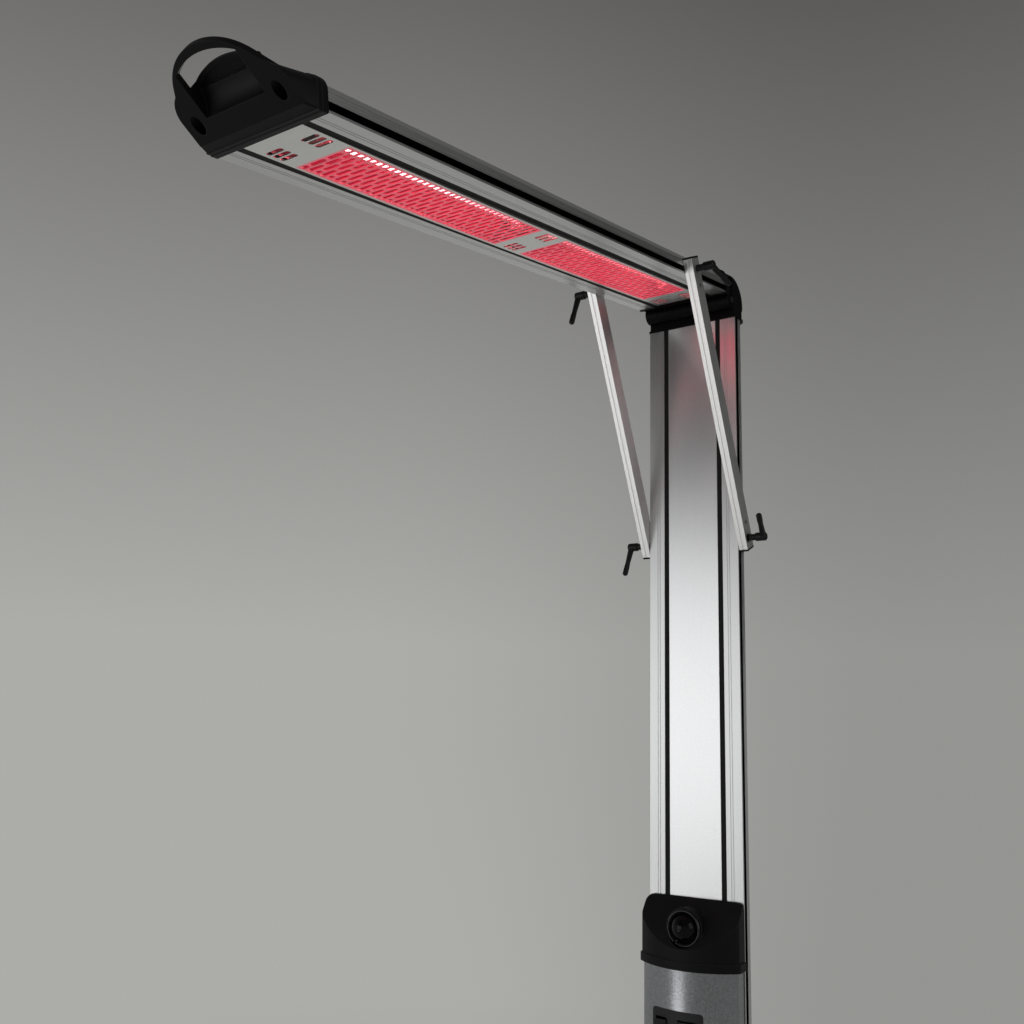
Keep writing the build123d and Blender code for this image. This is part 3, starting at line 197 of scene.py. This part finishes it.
def streaked_metal_group():
    """Metal with fine lines along its length, cloudy patches and a changing sheen."""
    group, entry, leave = new_group("streaked_metal", [
        ("Lines", "NodeSocketVector", None),
        ("Place", "NodeSocketVector", None),
        ("Tone", "NodeSocketColor", (0.7, 0.7, 0.7, 1)),
        ("Line strength", "NodeSocketFloat", 0.2),
        ("Grain strength", "NodeSocketFloat", 0.16),
        ("Sheen low", "NodeSocketFloat", 0.25),
        ("Sheen high", "NodeSocketFloat", 0.42),
    ], [("Colour", "NodeSocketColor"), ("Roughness", "NodeSocketFloat"), ("Height", "NodeSocketFloat")])
    cloud_strength = 0.10
    fine = noise_node(group, entry.outputs["Lines"], 1.0, 4.0, 0.7)
    cloud = noise_node(group, entry.outputs["Place"], 9.0, 3.0, 0.6)
    speck = noise_node(group, entry.outputs["Place"], 300.0, 3.0, 0.75)
    shade = varied(group, fine, entry.outputs["Line strength"], 1.0)
    shade = varied(group, cloud, cloud_strength, shade)
    shade = varied(group, speck, entry.outputs["Grain strength"], shade)
    toned = blend_node(group, 1.0, entry.outputs["Tone"], grey_node(group, shade), "MULTIPLY")
    uneven = summed(group, fine, 0.6, cloud, 0.4)
    sheen = between(group, uneven, entry.outputs["Sheen low"], entry.outputs["Sheen high"])
    group.links.new(toned, leave.inputs["Colour"])
    group.links.new(sheen, leave.inputs["Roughness"])
    group.links.new(summed(group, fine, 0.7, speck, 0.3), leave.inputs["Height"])


def moulded_grain_group():
    """Moulded plastic: a fine pebble grain, faint flow marks and a changing shine."""
    group, entry, leave = new_group("moulded_grain", [
        ("Place", "NodeSocketVector", None),
        ("Tone", "NodeSocketColor", (0.02, 0.02, 0.02, 1)),
        ("Grain", "NodeSocketFloat", 1500.0),
        ("Shine low", "NodeSocketFloat", 0.35),
        ("Shine high", "NodeSocketFloat", 0.6),
    ], [("Colour", "NodeSocketColor"), ("Roughness", "NodeSocketFloat"), ("Height", "NodeSocketFloat")])
    flow_strength = 0.5
    pebble = group.nodes.new("ShaderNodeTexVoronoi")
    group.links.new(entry.outputs["Place"], pebble.inputs["Vector"])
    group.links.new(entry.outputs["Grain"], pebble.inputs["Scale"])
    flow = noise_node(group, entry.outputs["Place"], 14.0, 4.0, 0.65)
    smear = noise_node(group, entry.outputs["Place"], 120.0, 3.0, 0.6)
    shade = grey_node(group, varied(group, flow, flow_strength, 1.0))
    toned = blend_node(group, 1.0, entry.outputs["Tone"], shade, "MULTIPLY")
    uneven = summed(group, flow, 0.5, smear, 0.5)
    shine = between(group, uneven, entry.outputs["Shine low"], entry.outputs["Shine high"])
    group.links.new(toned, leave.inputs["Colour"])
    group.links.new(shine, leave.inputs["Roughness"])
    group.links.new(summed(group, pebble.outputs["Distance"], 0.8, smear, 0.2), leave.inputs["Height"])


def rounded_edge_group():
    """Edges that catch the light: a rounded normal, and a mask where the surface turns, for painted edge
    highlights.
    """
    group, entry, leave = new_group("rounded_edge", [("Radius", "NodeSocketFloat", 0.0006)],
                                    [("Normal", "NodeSocketVector"), ("Edge", "NodeSocketFloat")])
    sharpness = 4.0
    bevel = group.nodes.new("ShaderNodeBevel")
    bevel.samples = 6
    group.links.new(entry.outputs["Radius"], bevel.inputs["Radius"])
    surface = group.nodes.new("ShaderNodeNewGeometry")
    turn = vector_node(group, "DOT_PRODUCT", bevel.outputs["Normal"], surface.outputs["Normal"])
    edge = math_node(group, "MULTIPLY", math_node(group, "SUBTRACT", 1.0, turn), sharpness)
    group.links.new(bevel.outputs["Normal"], leave.inputs["Normal"])
    group.links.new(math_node(group, "MINIMUM", edge, 1.0), leave.inputs["Edge"])


def hollow_shade_group():
    """A mask for the painted shade inside a profile's side channels, by distance from the middle and from the
    front.
    """
    group, entry, leave = new_group("hollow_shade", [
        ("Across", "NodeSocketFloat", 0.0),
        ("Deep", "NodeSocketFloat", 0.0),
    ], [("Mask", "NodeSocketFloat")])
    across = math_node(group, "ABSOLUTE", entry.outputs["Across"])
    within = inside(group, across, *CHANNEL_ACROSS)
    deep = inside(group, entry.outputs["Deep"], *CHANNEL_BEHIND)
    group.links.new(math_node(group, "MULTIPLY", within, deep), leave.inputs["Mask"])


def lit_zone_group():
    """A mask for the mesh zones of the grille, where painted red light goes, by distance from the middle and
    along the arm.
    """
    group, entry, leave = new_group("lit_zone", [
        ("Across", "NodeSocketFloat", 0.0),
        ("Along", "NodeSocketFloat", 0.0),
    ], [("Mask", "NodeSocketFloat")])
    slope = 220.0        # how fast the mask falls at a zone's edges, per metre
    at_middle = 9.4      # its height at the arm's middle, before it is held to 1
    at_end = 0.9         # its height at a zone's two ends
    rounding = 0.3
    across = math_node(group, "ABSOLUTE", entry.outputs["Across"])
    sides = math_node(group, "MULTIPLY_ADD", across, -slope, at_middle)
    sides = math_node(group, "SMOOTH_MIN", sides, 1.0, rounding)
    zones = []
    for low, high in ZONES:
        middle, half = (low + high) / 2, (high - low) / 2
        away = math_node(group, "ABSOLUTE", math_node(group, "SUBTRACT", entry.outputs["Along"], middle))
        zones.append(math_node(group, "MULTIPLY_ADD", away, -slope, half * slope + at_end))
    ends = math_node(group, "MINIMUM", math_node(group, "MAXIMUM", *zones), 1.0)
    both = math_node(group, "MULTIPLY", math_node(group, "MAXIMUM", sides, 0.0),
                     math_node(group, "MAXIMUM", ends, 0.0))
    group.links.new(both, leave.inputs["Mask"])


def settled_dust_group():
    """A thin film of dust where the surface faces up."""
    group, entry, leave = new_group("settled_dust", [
        ("Place", "NodeSocketVector", None),
        ("Amount", "NodeSocketFloat", 0.3),
    ], [("Mask", "NodeSocketFloat")])
    least_rise = 0.3     # a surface steeper than this holds no dust
    surface = group.nodes.new("ShaderNodeNewGeometry")
    rise = axis_node(group, surface.outputs["Normal"], "Z")
    upward = math_node(group, "MAXIMUM", math_node(group, "SUBTRACT", rise, least_rise), 0.0)
    patches = noise_node(group, entry.outputs["Place"], 45.0, 5.0, 0.7)
    film = math_node(group, "MULTIPLY", upward, patches)
    group.links.new(math_node(group, "MULTIPLY", film, entry.outputs["Amount"]), leave.inputs["Mask"])


# ---------------------------------------------------------------- materials
DUST_TONE = (0.33, 0.32, 0.30, 1)
CHANNEL_SHADE_TONE = (0.035, 0.034, 0.034, 1)   # painted shade inside the profiles' side channels
FINISHES = {}                             # every material, under its name


def new_material(name):
    """Makes a material and gives its tree, its shader and its object coordinates."""
    made = bpy.data.materials.new(name)
    FINISHES[name] = made
    made.use_nodes = True
    tree = made.node_tree
    shader = tree.nodes["Principled BSDF"]
    place = tree.nodes.new("ShaderNodeTexCoord").outputs["Object"]
    return tree, shader, place


def add_group(tree, name, **values):
    """A shader group placed in a material, with its sockets set or linked."""
    step = tree.nodes.new("ShaderNodeGroup")
    step.node_tree = GROUPS[name]
    for label, value in values.items():
        socket = step.inputs[label.replace("_", " ")]
        if isinstance(value, bpy.types.NodeSocket):
            tree.links.new(value, socket)
        else:
            socket.default_value = value
    return step


def finish_surface(tree, shader, look, place, radius, relief, painted_edge_tone, painted_edge_share, dust):
    """Joins a look's colour, shine and relief with rounded edges, a painted edge tone and dust, and feeds the
    shader.
    """
    edges = add_group(tree, "rounded_edge", Radius=radius)
    film = add_group(tree, "settled_dust", Place=place, Amount=dust)
    # painted edge highlights: the edges blend towards the painted edge tone, which is lighter on most
    # finishes
    painted_edge_mix = math_node(tree, "MULTIPLY", edges.outputs["Edge"], painted_edge_share)
    colour = blend_node(tree, painted_edge_mix, look.outputs["Colour"], painted_edge_tone)
    colour = blend_node(tree, film.outputs["Mask"], colour, DUST_TONE)
    tree.links.new(colour, shader.inputs["Base Color"])
    rough = math_node(tree, "MULTIPLY_ADD", film.outputs["Mask"], 0.4, look.outputs["Roughness"])
    tree.links.new(rough, shader.inputs["Roughness"])
    bump = tree.nodes.new("ShaderNodeBump")
    bump.inputs["Distance"].default_value = relief
    bump.inputs["Strength"].default_value = 1.0
    tree.links.new(look.outputs["Height"], bump.inputs["Height"])
    tree.links.new(edges.outputs["Normal"], bump.inputs["Normal"])
    tree.links.new(bump.outputs["Normal"], shader.inputs["Normal"])


def reading(tree, place, direction, start=0.0):
    """How far a point lies along a direction, from a start."""
    return math_node(tree, "SUBTRACT", vector_node(tree, "DOT_PRODUCT", place, direction), start)


def arm_reading(tree, place, direction):
    """How far a point lies from the hinge's corner, in one of the arm's directions."""
    return reading(tree, place, direction, direction.z * HINGE)


def metal(name, tone, turn=0.0, run="Z", lines=700.0, strength=0.25, sheen=(0.22, 0.4), relief=0.00002,
          radius=0.0005, hollow=None, grain=0.16):
    """A metal whose lines run along one axis, after a turn about X; hollow is the way into its front, for the
    painted shade in its side channels.
    """
    tree, shader, place = new_material(name)
    shader.inputs["Metallic"].default_value = 1.0
    stretch = tree.nodes.new("ShaderNodeMapping")
    stretch.vector_type = "TEXTURE"
    stretch.inputs["Rotation"].default_value = (turn, 0, 0)
    across, along = 1.0 / lines, 1.0 / 4.0
    stretch.inputs["Scale"].default_value = tuple(along if axis == run else across for axis in "XYZ")
    tree.links.new(place, stretch.inputs["Vector"])
    # edges a little lighter than the metal: painted edge highlights
    painted_edge_tone = (*[min(1, share * 1.15) for share in tone], 1)
    painted_edge_share = 0.0 if hollow else 0.5
    toned = (*tone, 1)
    if hollow:
        shade = add_group(tree, "hollow_shade", Across=reading(tree, place, ACROSS),
                          Deep=reading(tree, place, *hollow))
        # painted shade inside the side channels
        toned = blend_node(tree, shade.outputs["Mask"], toned, CHANNEL_SHADE_TONE)
    look = add_group(tree, "streaked_metal", Lines=stretch.outputs[0], Place=place, Tone=toned,
                     Line_strength=strength, Grain_strength=grain, Sheen_low=sheen[0], Sheen_high=sheen[1])
    finish_surface(tree, shader, look, place, radius, relief, painted_edge_tone, painted_edge_share, dust=0.04)
    return tree, shader, place


def painted_glow_metal(name, tone):
    """The grille's metal, with a painted red tint and a painted glow round the slots, standing in for the
    light of the lamps behind it.
    """
    painted_light_tint = (0.55, 0.21, 0.24, 1)
    faint_painted_glow, full_painted_glow = (0.75, 0.02, 0.07, 1), (1.0, 0.12, 0.19, 1)
    painted_glow_strength = 0.34
    tree, shader, place = metal(name, tone, turn=DROOP, run="Y", lines=400, strength=0.08, sheen=(0.35, 0.5),
                                radius=0.0002)
    zone = add_group(tree, "lit_zone", Across=reading(tree, place, ACROSS),
                     Along=arm_reading(tree, place, OUT))
    mask = zone.outputs["Mask"]
    plain = shader.inputs["Base Color"].links[0].from_socket
    # painted red light: the metal tinted pink in the mesh zones
    tree.links.new(blend_node(tree, mask, plain, painted_light_tint), shader.inputs["Base Color"])
    patch = noise_node(tree, place, 130.0, 3.0, 0.6)
    # a painted glow round the slots, given off by the metal itself
    tree.links.new(blend_node(tree, patch, faint_painted_glow, full_painted_glow), shader.inputs["Emission Color"])
    tree.links.new(math_node(tree, "MULTIPLY", mask, painted_glow_strength), shader.inputs["Emission Strength"])


# edge is the share of the painted edge tone at the edges, which paints highlights there
def plastic(name, tone, grain=1500.0, shine=(0.38, 0.6), relief=0.00003, radius=0.0007, dust=0.05, edge=0.22,
            painted_edge_tone=(0.05, 0.05, 0.053, 1), mirror=0.22):
    """A moulded plastic or rubber; mirror is how much it reflects."""
    tree, shader, place = new_material(name)
    shader.inputs["Specular IOR Level"].default_value = mirror
    look = add_group(tree, "moulded_grain", Place=place, Tone=(*tone, 1), Grain=grain, Shine_low=shine[0],
                     Shine_high=shine[1])
    finish_surface(tree, shader, look, place, radius, relief, painted_edge_tone, edge, dust)
    return tree, shader, place


def painted_glow_rubber(name, tone):
    """The arm's strips: their inner lips get a painted red glow, standing in for the lamps' light."""
    nearer = 0.9         # the mask is read nearer the middle, so that it reaches out to the strips
    painted_glow_strength = 0.4
    tree, shader, place = plastic(name, tone, grain=900, shine=(0.55, 0.8))
    across = math_node(tree, "MULTIPLY", reading(tree, place, ACROSS), nearer)
    zone = add_group(tree, "lit_zone", Across=across, Along=arm_reading(tree, place, OUT))
    lip = math_node(tree, "GREATER_THAN", arm_reading(tree, place, UP), STRIP_LIP)
    # a painted red glow on the strips' inner lips, in the mesh zones
    shader.inputs["Emission Color"].default_value = (0.8, 0.02, 0.06, 1)
    painted_glow_mask = math_node(tree, "MULTIPLY", zone.outputs["Mask"], lip)
    tree.links.new(math_node(tree, "MULTIPLY", painted_glow_mask, painted_glow_strength), shader.inputs["Emission Strength"])


def glass(name, tone, rough=0.02, through=1.0, mirror=0.5):
    """Glass with faint smears in its shine."""
    tree, shader, place = new_material(name)
    shader.inputs["Base Color"].default_value = (*tone, 1)
    shader.inputs["Transmission Weight"].default_value = through
    shader.inputs["IOR"].default_value = 1.46
    shader.inputs["Specular IOR Level"].default_value = mirror
    smear = noise_node(tree, place, 60.0, 4.0, 0.7)
    tree.links.new(math_node(tree, "MULTIPLY_ADD", smear, 0.05, rough), shader.inputs["Roughness"])


def glowing(name, shown, cast, shown_strength, cast_strength, vary=30.0, fade=None):
    """A glowing surface: the colour that the eye sees, and the redder light that it casts. The lamp wire is
    hot; the reflectors' glow is painted light.

    Where fade is given, what the eye sees grows from faint to full between those two places along the arm.
    """
    faint = 0.14
    tree, shader, place = new_material(name)
    shader.inputs["Base Color"].default_value = (0.10, 0.012, 0.018, 1)
    patch = noise_node(tree, place, vary, 3.0, 0.6)
    tree.links.new(math_node(tree, "MULTIPLY_ADD", patch, 0.3, 0.4), shader.inputs["Roughness"])
    path = tree.nodes.new("ShaderNodeLightPath")
    unscattered = math_node(tree, "LESS_THAN", path.outputs["Diffuse Depth"], 0.5)
    through = math_node(tree, "MULTIPLY", path.outputs["Is Transmission Ray"], unscattered)
    direct = math_node(tree, "MAXIMUM", path.outputs["Is Camera Ray"], through)
    uneven = math_node(tree, "MULTIPLY_ADD", patch, 0.8, 0.6)
    if fade:
        hot = ramp_node(tree, arm_reading(tree, place, OUT), *fade, least=faint)
        seen = math_node(tree, "MULTIPLY_ADD", direct, math_node(tree, "SUBTRACT", hot, 1.0), 1.0)
        uneven = math_node(tree, "MULTIPLY", uneven, seen)
    tree.links.new(blend_node(tree, direct, (*cast, 1), (*shown, 1)), shader.inputs["Emission Color"])
    level = math_node(tree, "MULTIPLY_ADD", direct, shown_strength - cast_strength, cast_strength)
    tree.links.new(math_node(tree, "MULTIPLY", level, uneven), shader.inputs["Emission Strength"])


def build_materials():
    """Every finish of the tower."""
    for make in (streaked_metal_group, moulded_grain_group, rounded_edge_group, settled_dust_group,
                 hollow_shade_group, lit_zone_group):
        make()
    strip_black = (0.0055, 0.0055, 0.0055)
    metal("column_metal", (0.56, 0.565, 0.57), run="Z", hollow=((0, 1, 0), 0.0), sheen=(0.26, 0.38))
    metal("cover_metal", (0.66, 0.665, 0.675), run="Z", lines=300, strength=0.06, sheen=(0.25, 0.33),
          grain=0.22)
    metal("arm_metal", (0.60, 0.605, 0.60), turn=DROOP, run="Y", hollow=(UP, UP.z * HINGE),
          sheen=(0.28, 0.44))
    painted_glow_metal("grille_metal", (0.78, 0.78, 0.76))
    metal("strut_metal", (0.93, 0.93, 0.93), turn=STRUT_LEAN, run="Z", lines=500, strength=0.12,
          sheen=(0.36, 0.48))
    metal("housing_steel", (0.28, 0.285, 0.30), run="Z", lines=900, strength=0.2, sheen=(0.18, 0.28),
          relief=0.00003, grain=1.1)
    # a darker steel for the hinge pin: painted shade in the hinge
    metal("pin_steel_painted_shade", (0.10, 0.10, 0.105), run="X", lines=600, sheen=(0.3, 0.5))
    metal("fastener_steel", (0.35, 0.35, 0.36), run="X", lines=600, sheen=(0.25, 0.45))
    plastic("black_moulding", (0.0036, 0.0036, 0.0046), mirror=0.13, radius=0.0009, edge=0.6,
            painted_edge_tone=(0.05, 0.05, 0.056, 1))
    plastic("panel_moulding", (0.011, 0.011, 0.0135), mirror=0.3, edge=0.6)
    # a darker, duller copy of the black moulding for the hinge caps: painted shade in the hinge
    plastic("hinge_moulding_painted_shade", (0.002, 0.002, 0.0026), mirror=0.1, edge=0.5)
    plastic("lever_plastic", (0.0055, 0.0055, 0.006), grain=1100, shine=(0.3, 0.5))
    plastic("switch_plastic", (0.004, 0.004, 0.005), grain=3000, shine=(0.16, 0.3), relief=0.00001,
            mirror=0.4)
    plastic("strip_rubber", strip_black, grain=900, shine=(0.55, 0.8))
    painted_glow_rubber("arm_strip_rubber", strip_black)
    plastic("mat_rubber", (0.015, 0.015, 0.015), grain=600, shine=(0.7, 0.9), relief=0.0001)
    plastic("tyre_rubber", (0.014, 0.014, 0.014), grain=500, shine=(0.55, 0.8), relief=0.0001)
    plastic("base_paint", (0.016, 0.016, 0.018), grain=700, shine=(0.4, 0.6), relief=0.00008,
            radius=0.0012, dust=0.12, mirror=0.4)
    plastic("lamp_ceramic", (0.72, 0.70, 0.64), grain=900, shine=(0.6, 0.8),
            painted_edge_tone=(0.5, 0.48, 0.44, 1))
    plastic("green_board", (0.02, 0.10, 0.045), grain=2500, shine=(0.25, 0.4))
    glass("dome_glass", (0.002, 0.002, 0.0025), rough=0.015, through=0.0, mirror=0.16)
    glass("lamp_glass", (1.0, 0.82, 0.82))
    glowing("lamp_wire", (1.0, 0.84, 0.84), (1.0, 0.19, 0.26), 3.6, 62.0, fade=(0.50, 0.86))
    # the reflectors are no lamps: their glow is painted red light from the lamps, and it lights the parts
    # round them
    glowing("reflector_painted_glow", (0.78, 0.008, 0.05), (0.9, 0.10, 0.15), 0.42, 1.4, 18.0)


def pairs(*names):
    """The left and the right node of each name."""
    return [f"{name}_{side}" for name in names for side in ("left", "right")]


WEARS = {
    "column_metal": ["column_profile"],
    "cover_metal": ["column_cover"],
    "arm_metal": ["arm_profile"],
    "grille_metal": ["grille_panel"],
    "strut_metal": pairs("strut_bar"),
    "housing_steel": ["steel_cover", "housing_back_plate"],
    "fastener_steel": ["socket_bolts", "socket_clamp_screws", "bracket_bolts", "wheel_axle",
                       "column_cap_screws", "arm_cap_screws", "outer_cap_screws",
                       *pairs("strut_screws", "upper_nut", "lower_nut", "upper_stud", "lower_stud")],
    "pin_steel_painted_shade": ["hinge_pin"],
    "hinge_moulding_painted_shade": ["column_hinge_cap", "arm_hinge_cap"],
    "black_moulding": ["outer_cap", "sensor_hood", "sensor_module", "foot_cap", "cable_gland",
                       *pairs("strut_plugs")],
    "panel_moulding": ["switch_panel"],
    "lever_plastic": pairs("upper_lever", "lower_lever"),
    "switch_plastic": ["main_rocker", "heat_rocker", "sensor_ring"],
    "strip_rubber": ["column_slot_strips"],
    "arm_strip_rubber": ["arm_slot_strips"],
    "mat_rubber": ["floor_mat"],
    "tyre_rubber": pairs("wheel"),
    "base_paint": ["base_plate", "column_socket", "wheel_brackets"],
    "lamp_ceramic": ["lamp_holders", "arm_terminal_block", "supply_terminals"],
    "green_board": ["control_board"],
    "dome_glass": ["sensor_dome"],
    "lamp_glass": ["lamp_tubes"],
    "lamp_wire": ["lamp_filaments"],
    "reflector_painted_glow": ["reflectors"],
}


def dress_nodes():
    """Gives every CAD node its finish."""
    for finish, names in WEARS.items():
        for name in names:
            node = nodes[name]
            node.data.materials.clear()
            node.data.materials.append(FINISHES[finish])


# ---------------------------------------------------------------- stage and light
SHOWN_LOW = (0.415, 0.415, 0.400, 1)      # the surround at floor level, as the eye sees it
SHOWN_HIGH = (0.135, 0.132, 0.130, 1)     # and high up
RIGHT_TONE = (0.72, 0.72, 0.72, 1)        # what the surround is dimmed by at the right
DIMMING = (-0.70, -0.26)                  # where that begins and ends, by a level direction's X
RISING = (0.08, 0.60)                     # where the surround turns from low to high, by a direction's Z
FADING = (1.2, 5.0)                       # where the floor turns into the surround, in metres


def seen_rays(tree):
    """1 for what the eye sees directly, in a reflection or through glass."""
    path = tree.nodes.new("ShaderNodeLightPath")
    mirrored = math_node(tree, "MAXIMUM", path.outputs["Is Glossy Ray"], path.outputs["Is Transmission Ray"])
    return math_node(tree, "MAXIMUM", path.outputs["Is Camera Ray"], mirrored)


def dim_to_the_right(tree, direction, colour):
    """The surround's colour, darker towards the right."""
    level = vector_node(tree, "MULTIPLY", direction, (1, 1, 0))
    rightward = axis_node(tree, vector_node(tree, "NORMALIZE", level), "X")
    return blend_node(tree, ramp_node(tree, rightward, *DIMMING), colour, RIGHT_TONE, "MULTIPLY")


def new_object(name, shape, finish):
    """Turns a bmesh into an object with one finish, where it lies."""
    mesh = bpy.data.meshes.new(name)
    shape.to_mesh(mesh)
    shape.free()
    mesh.materials.append(FINISHES[finish])
    made = bpy.data.objects.new(name, mesh)
    bpy.context.scene.collection.objects.link(made)
    return made


def build_floor():
    """A wide pale floor that runs into the surround far from the tower."""
    sheet = bmesh.new()
    bmesh.ops.create_grid(sheet, x_segments=1, y_segments=1, size=60)
    tree, shader, place = new_material("floor_paint")
    shader.inputs["Roughness"].default_value = 0.9
    shader.inputs["Specular IOR Level"].default_value = 0.1
    cloud = noise_node(tree, place, 2.0, 3.0, 0.5)
    tree.links.new(blend_node(tree, cloud, (0.50, 0.50, 0.485, 1), (0.53, 0.53, 0.515, 1)),
                   shader.inputs["Base Color"])
    far = ramp_node(tree, vector_node(tree, "LENGTH", place), *FADING)
    plain = tree.nodes.new("ShaderNodeEmission")
    tree.links.new(dim_to_the_right(tree, place, SHOWN_LOW), plain.inputs["Color"])
    mixed = tree.nodes.new("ShaderNodeMixShader")
    tree.links.new(math_node(tree, "MULTIPLY", far, seen_rays(tree)), mixed.inputs[0])
    tree.links.new(shader.outputs[0], mixed.inputs[1])
    tree.links.new(plain.outputs[0], mixed.inputs[2])
    tree.links.new(mixed.outputs[0], tree.nodes["Material Output"].inputs["Surface"])
    new_object("studio_floor", sheet, "floor_paint")


def build_dark_cloths():
    """Dark cloths outside the picture, one behind the camera and one at the right: the metal mirrors them."""
    tree, shader, place = new_material("dark_cloth")
    shader.inputs["Roughness"].default_value = 0.95
    shader.inputs["Specular IOR Level"].default_value = 0.1
    folds = noise_node(tree, place, 3.0, 3.0, 0.5)
    tree.links.new(blend_node(tree, folds, (0.035, 0.035, 0.035, 1), (0.05, 0.05, 0.05, 1)),
                   shader.inputs["Base Color"])
    for name, half_size, tilt, at in (
        ("front_cloth", (2.6, 2.6), 62, (-1.6, -4.6, 4.9)),
        ("right_cloth", (2.0, 2.1), 90, (2.5, 2.9, 3.85)),
    ):
        turned = Matrix.Rotation(math.radians(tilt), 3, "X")
        sheet = bmesh.new()
        bmesh.ops.create_grid(sheet, x_segments=1, y_segments=1, size=1)
        bmesh.ops.scale(sheet, vec=(*half_size, 1), verts=sheet.verts)
        bmesh.ops.rotate(sheet, cent=(0, 0, 0), matrix=turned, verts=sheet.verts)
        bmesh.ops.translate(sheet, vec=at, verts=sheet.verts)
        cloth = new_object(name, sheet, "dark_cloth")
        cloth.visible_camera = False


def build_surround():
    """A plain surround, pale at the floor and greyer above, and even light from all round."""
    world = bpy.data.worlds.new("surround")
    world.use_nodes = True
    tree = world.node_tree
    tree.nodes.clear()
    ends = tree.nodes.new("ShaderNodeOutputWorld")
    shown = tree.nodes.new("ShaderNodeBackground")
    lights = tree.nodes.new("ShaderNodeBackground")
    pick = tree.nodes.new("ShaderNodeMixShader")
    ahead = tree.nodes.new("ShaderNodeTexCoord").outputs["Generated"]
    rise = ramp_node(tree, axis_node(tree, ahead, "Z"), *RISING, kind="LINEAR")
    risen = blend_node(tree, rise, SHOWN_LOW, SHOWN_HIGH)
    tree.links.new(dim_to_the_right(tree, ahead, risen), shown.inputs["Color"])
    lights.inputs["Color"].default_value = (0.62, 0.62, 0.61, 1)
    tree.links.new(seen_rays(tree), pick.inputs[0])
    tree.links.new(lights.outputs[0], pick.inputs[1])
    tree.links.new(shown.outputs[0], pick.inputs[2])
    tree.links.new(pick.outputs[0], ends.inputs[0])
    bpy.context.scene.world = world
    bpy.context.scene.view_settings.view_transform = "Standard"


def build_lamps():
    """Soft lights: in front, low in front, to the right and behind."""
    for name, at, target, size, power in (
        ("front_softbox", (-1.72, -3.5, 1.62), (0, 0, 1.5), (2.4, 1.8), 17),
        ("low_softbox", (-1.66, -2.7, 0.22), (0, 0, 1.2), (0.9, 0.36), 3.0),
        ("right_softbox", (3.2, -1.0, 2.6), (0, -0.3, 1.6), (1.8, 2.4), 14),
        ("back_softbox", (-2.2, 2.6, 2.9), (0, 0, 1.6), (2.0, 2.0), 10),
    ):
        lamp = bpy.data.lights.new(name, "AREA")
        lamp.shape = "RECTANGLE"
        lamp.size, lamp.size_y = size
        lamp.energy = power
        holder = bpy.data.objects.new(name, lamp)
        bpy.context.scene.collection.objects.link(holder)
        away = Vector(target) - Vector(at)
        holder.location = at
        holder.rotation_mode = "QUATERNION"
        holder.rotation_quaternion = away.to_track_quat("-Z", "Y")


# ---------------------------------------------------------------- pieces
def add_piece(name, shape, place, finish, body, slot, *stands_for):
    """Turns a bmesh into a piece that rides on a body and stands for its CAD nodes."""
    bmesh.ops.transform(shape, matrix=place, verts=shape.verts)
    piece = new_object(name, shape, finish)
    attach(piece, body)
    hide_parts(*stands_for)


def build_lamp_coils():
    """The wound heating wires of both lamps."""
    wire_radius = 0.00042
    winding_radius = 0.0017
    winding_pitch = 0.0032
    overrun = 0.004              # past each end of a mesh zone
    steps_a_turn = 10
    upright = Matrix.Rotation(math.radians(90), 3, "X")
    coils = bmesh.new()
    for low, high in ZONES:
        start, end = low - overrun, high + overrun
        turns = int((end - start) / winding_pitch)
        steps = turns * steps_a_turn
        ring = bmesh.ops.create_circle(coils, segments=5, radius=wire_radius)["verts"]
        bmesh.ops.rotate(coils, cent=(0, 0, 0), matrix=upright, verts=ring)
        bmesh.ops.translate(coils, vec=(winding_radius, 0, start), verts=ring)
        edges = list(dict.fromkeys(edge for vert in ring for edge in vert.link_edges))
        bmesh.ops.spin(coils, geom=ring + edges, cent=(0, 0, 0), axis=(0, 0, 1),
                       dvec=(0, 0, (end - start) / steps), angle=math.radians(360 * turns), steps=steps)
    bmesh.ops.translate(coils, vec=(0, LAMP_HEIGHT, 0), verts=coils.verts)
    bmesh.ops.holes_fill(coils, edges=[edge for edge in coils.edges if edge.is_boundary], sides=8)
    bmesh.ops.recalc_face_normals(coils, faces=coils.faces)
    add_piece("lamp_coils", coils, ALONG_ARM, "lamp_wire", "arm", "filament", "lamp_filaments")


place_camera()
build_floor()
build_dark_cloths()
build_surround()
build_lamps()
build_materials()
dress_nodes()
build_lamp_coils()
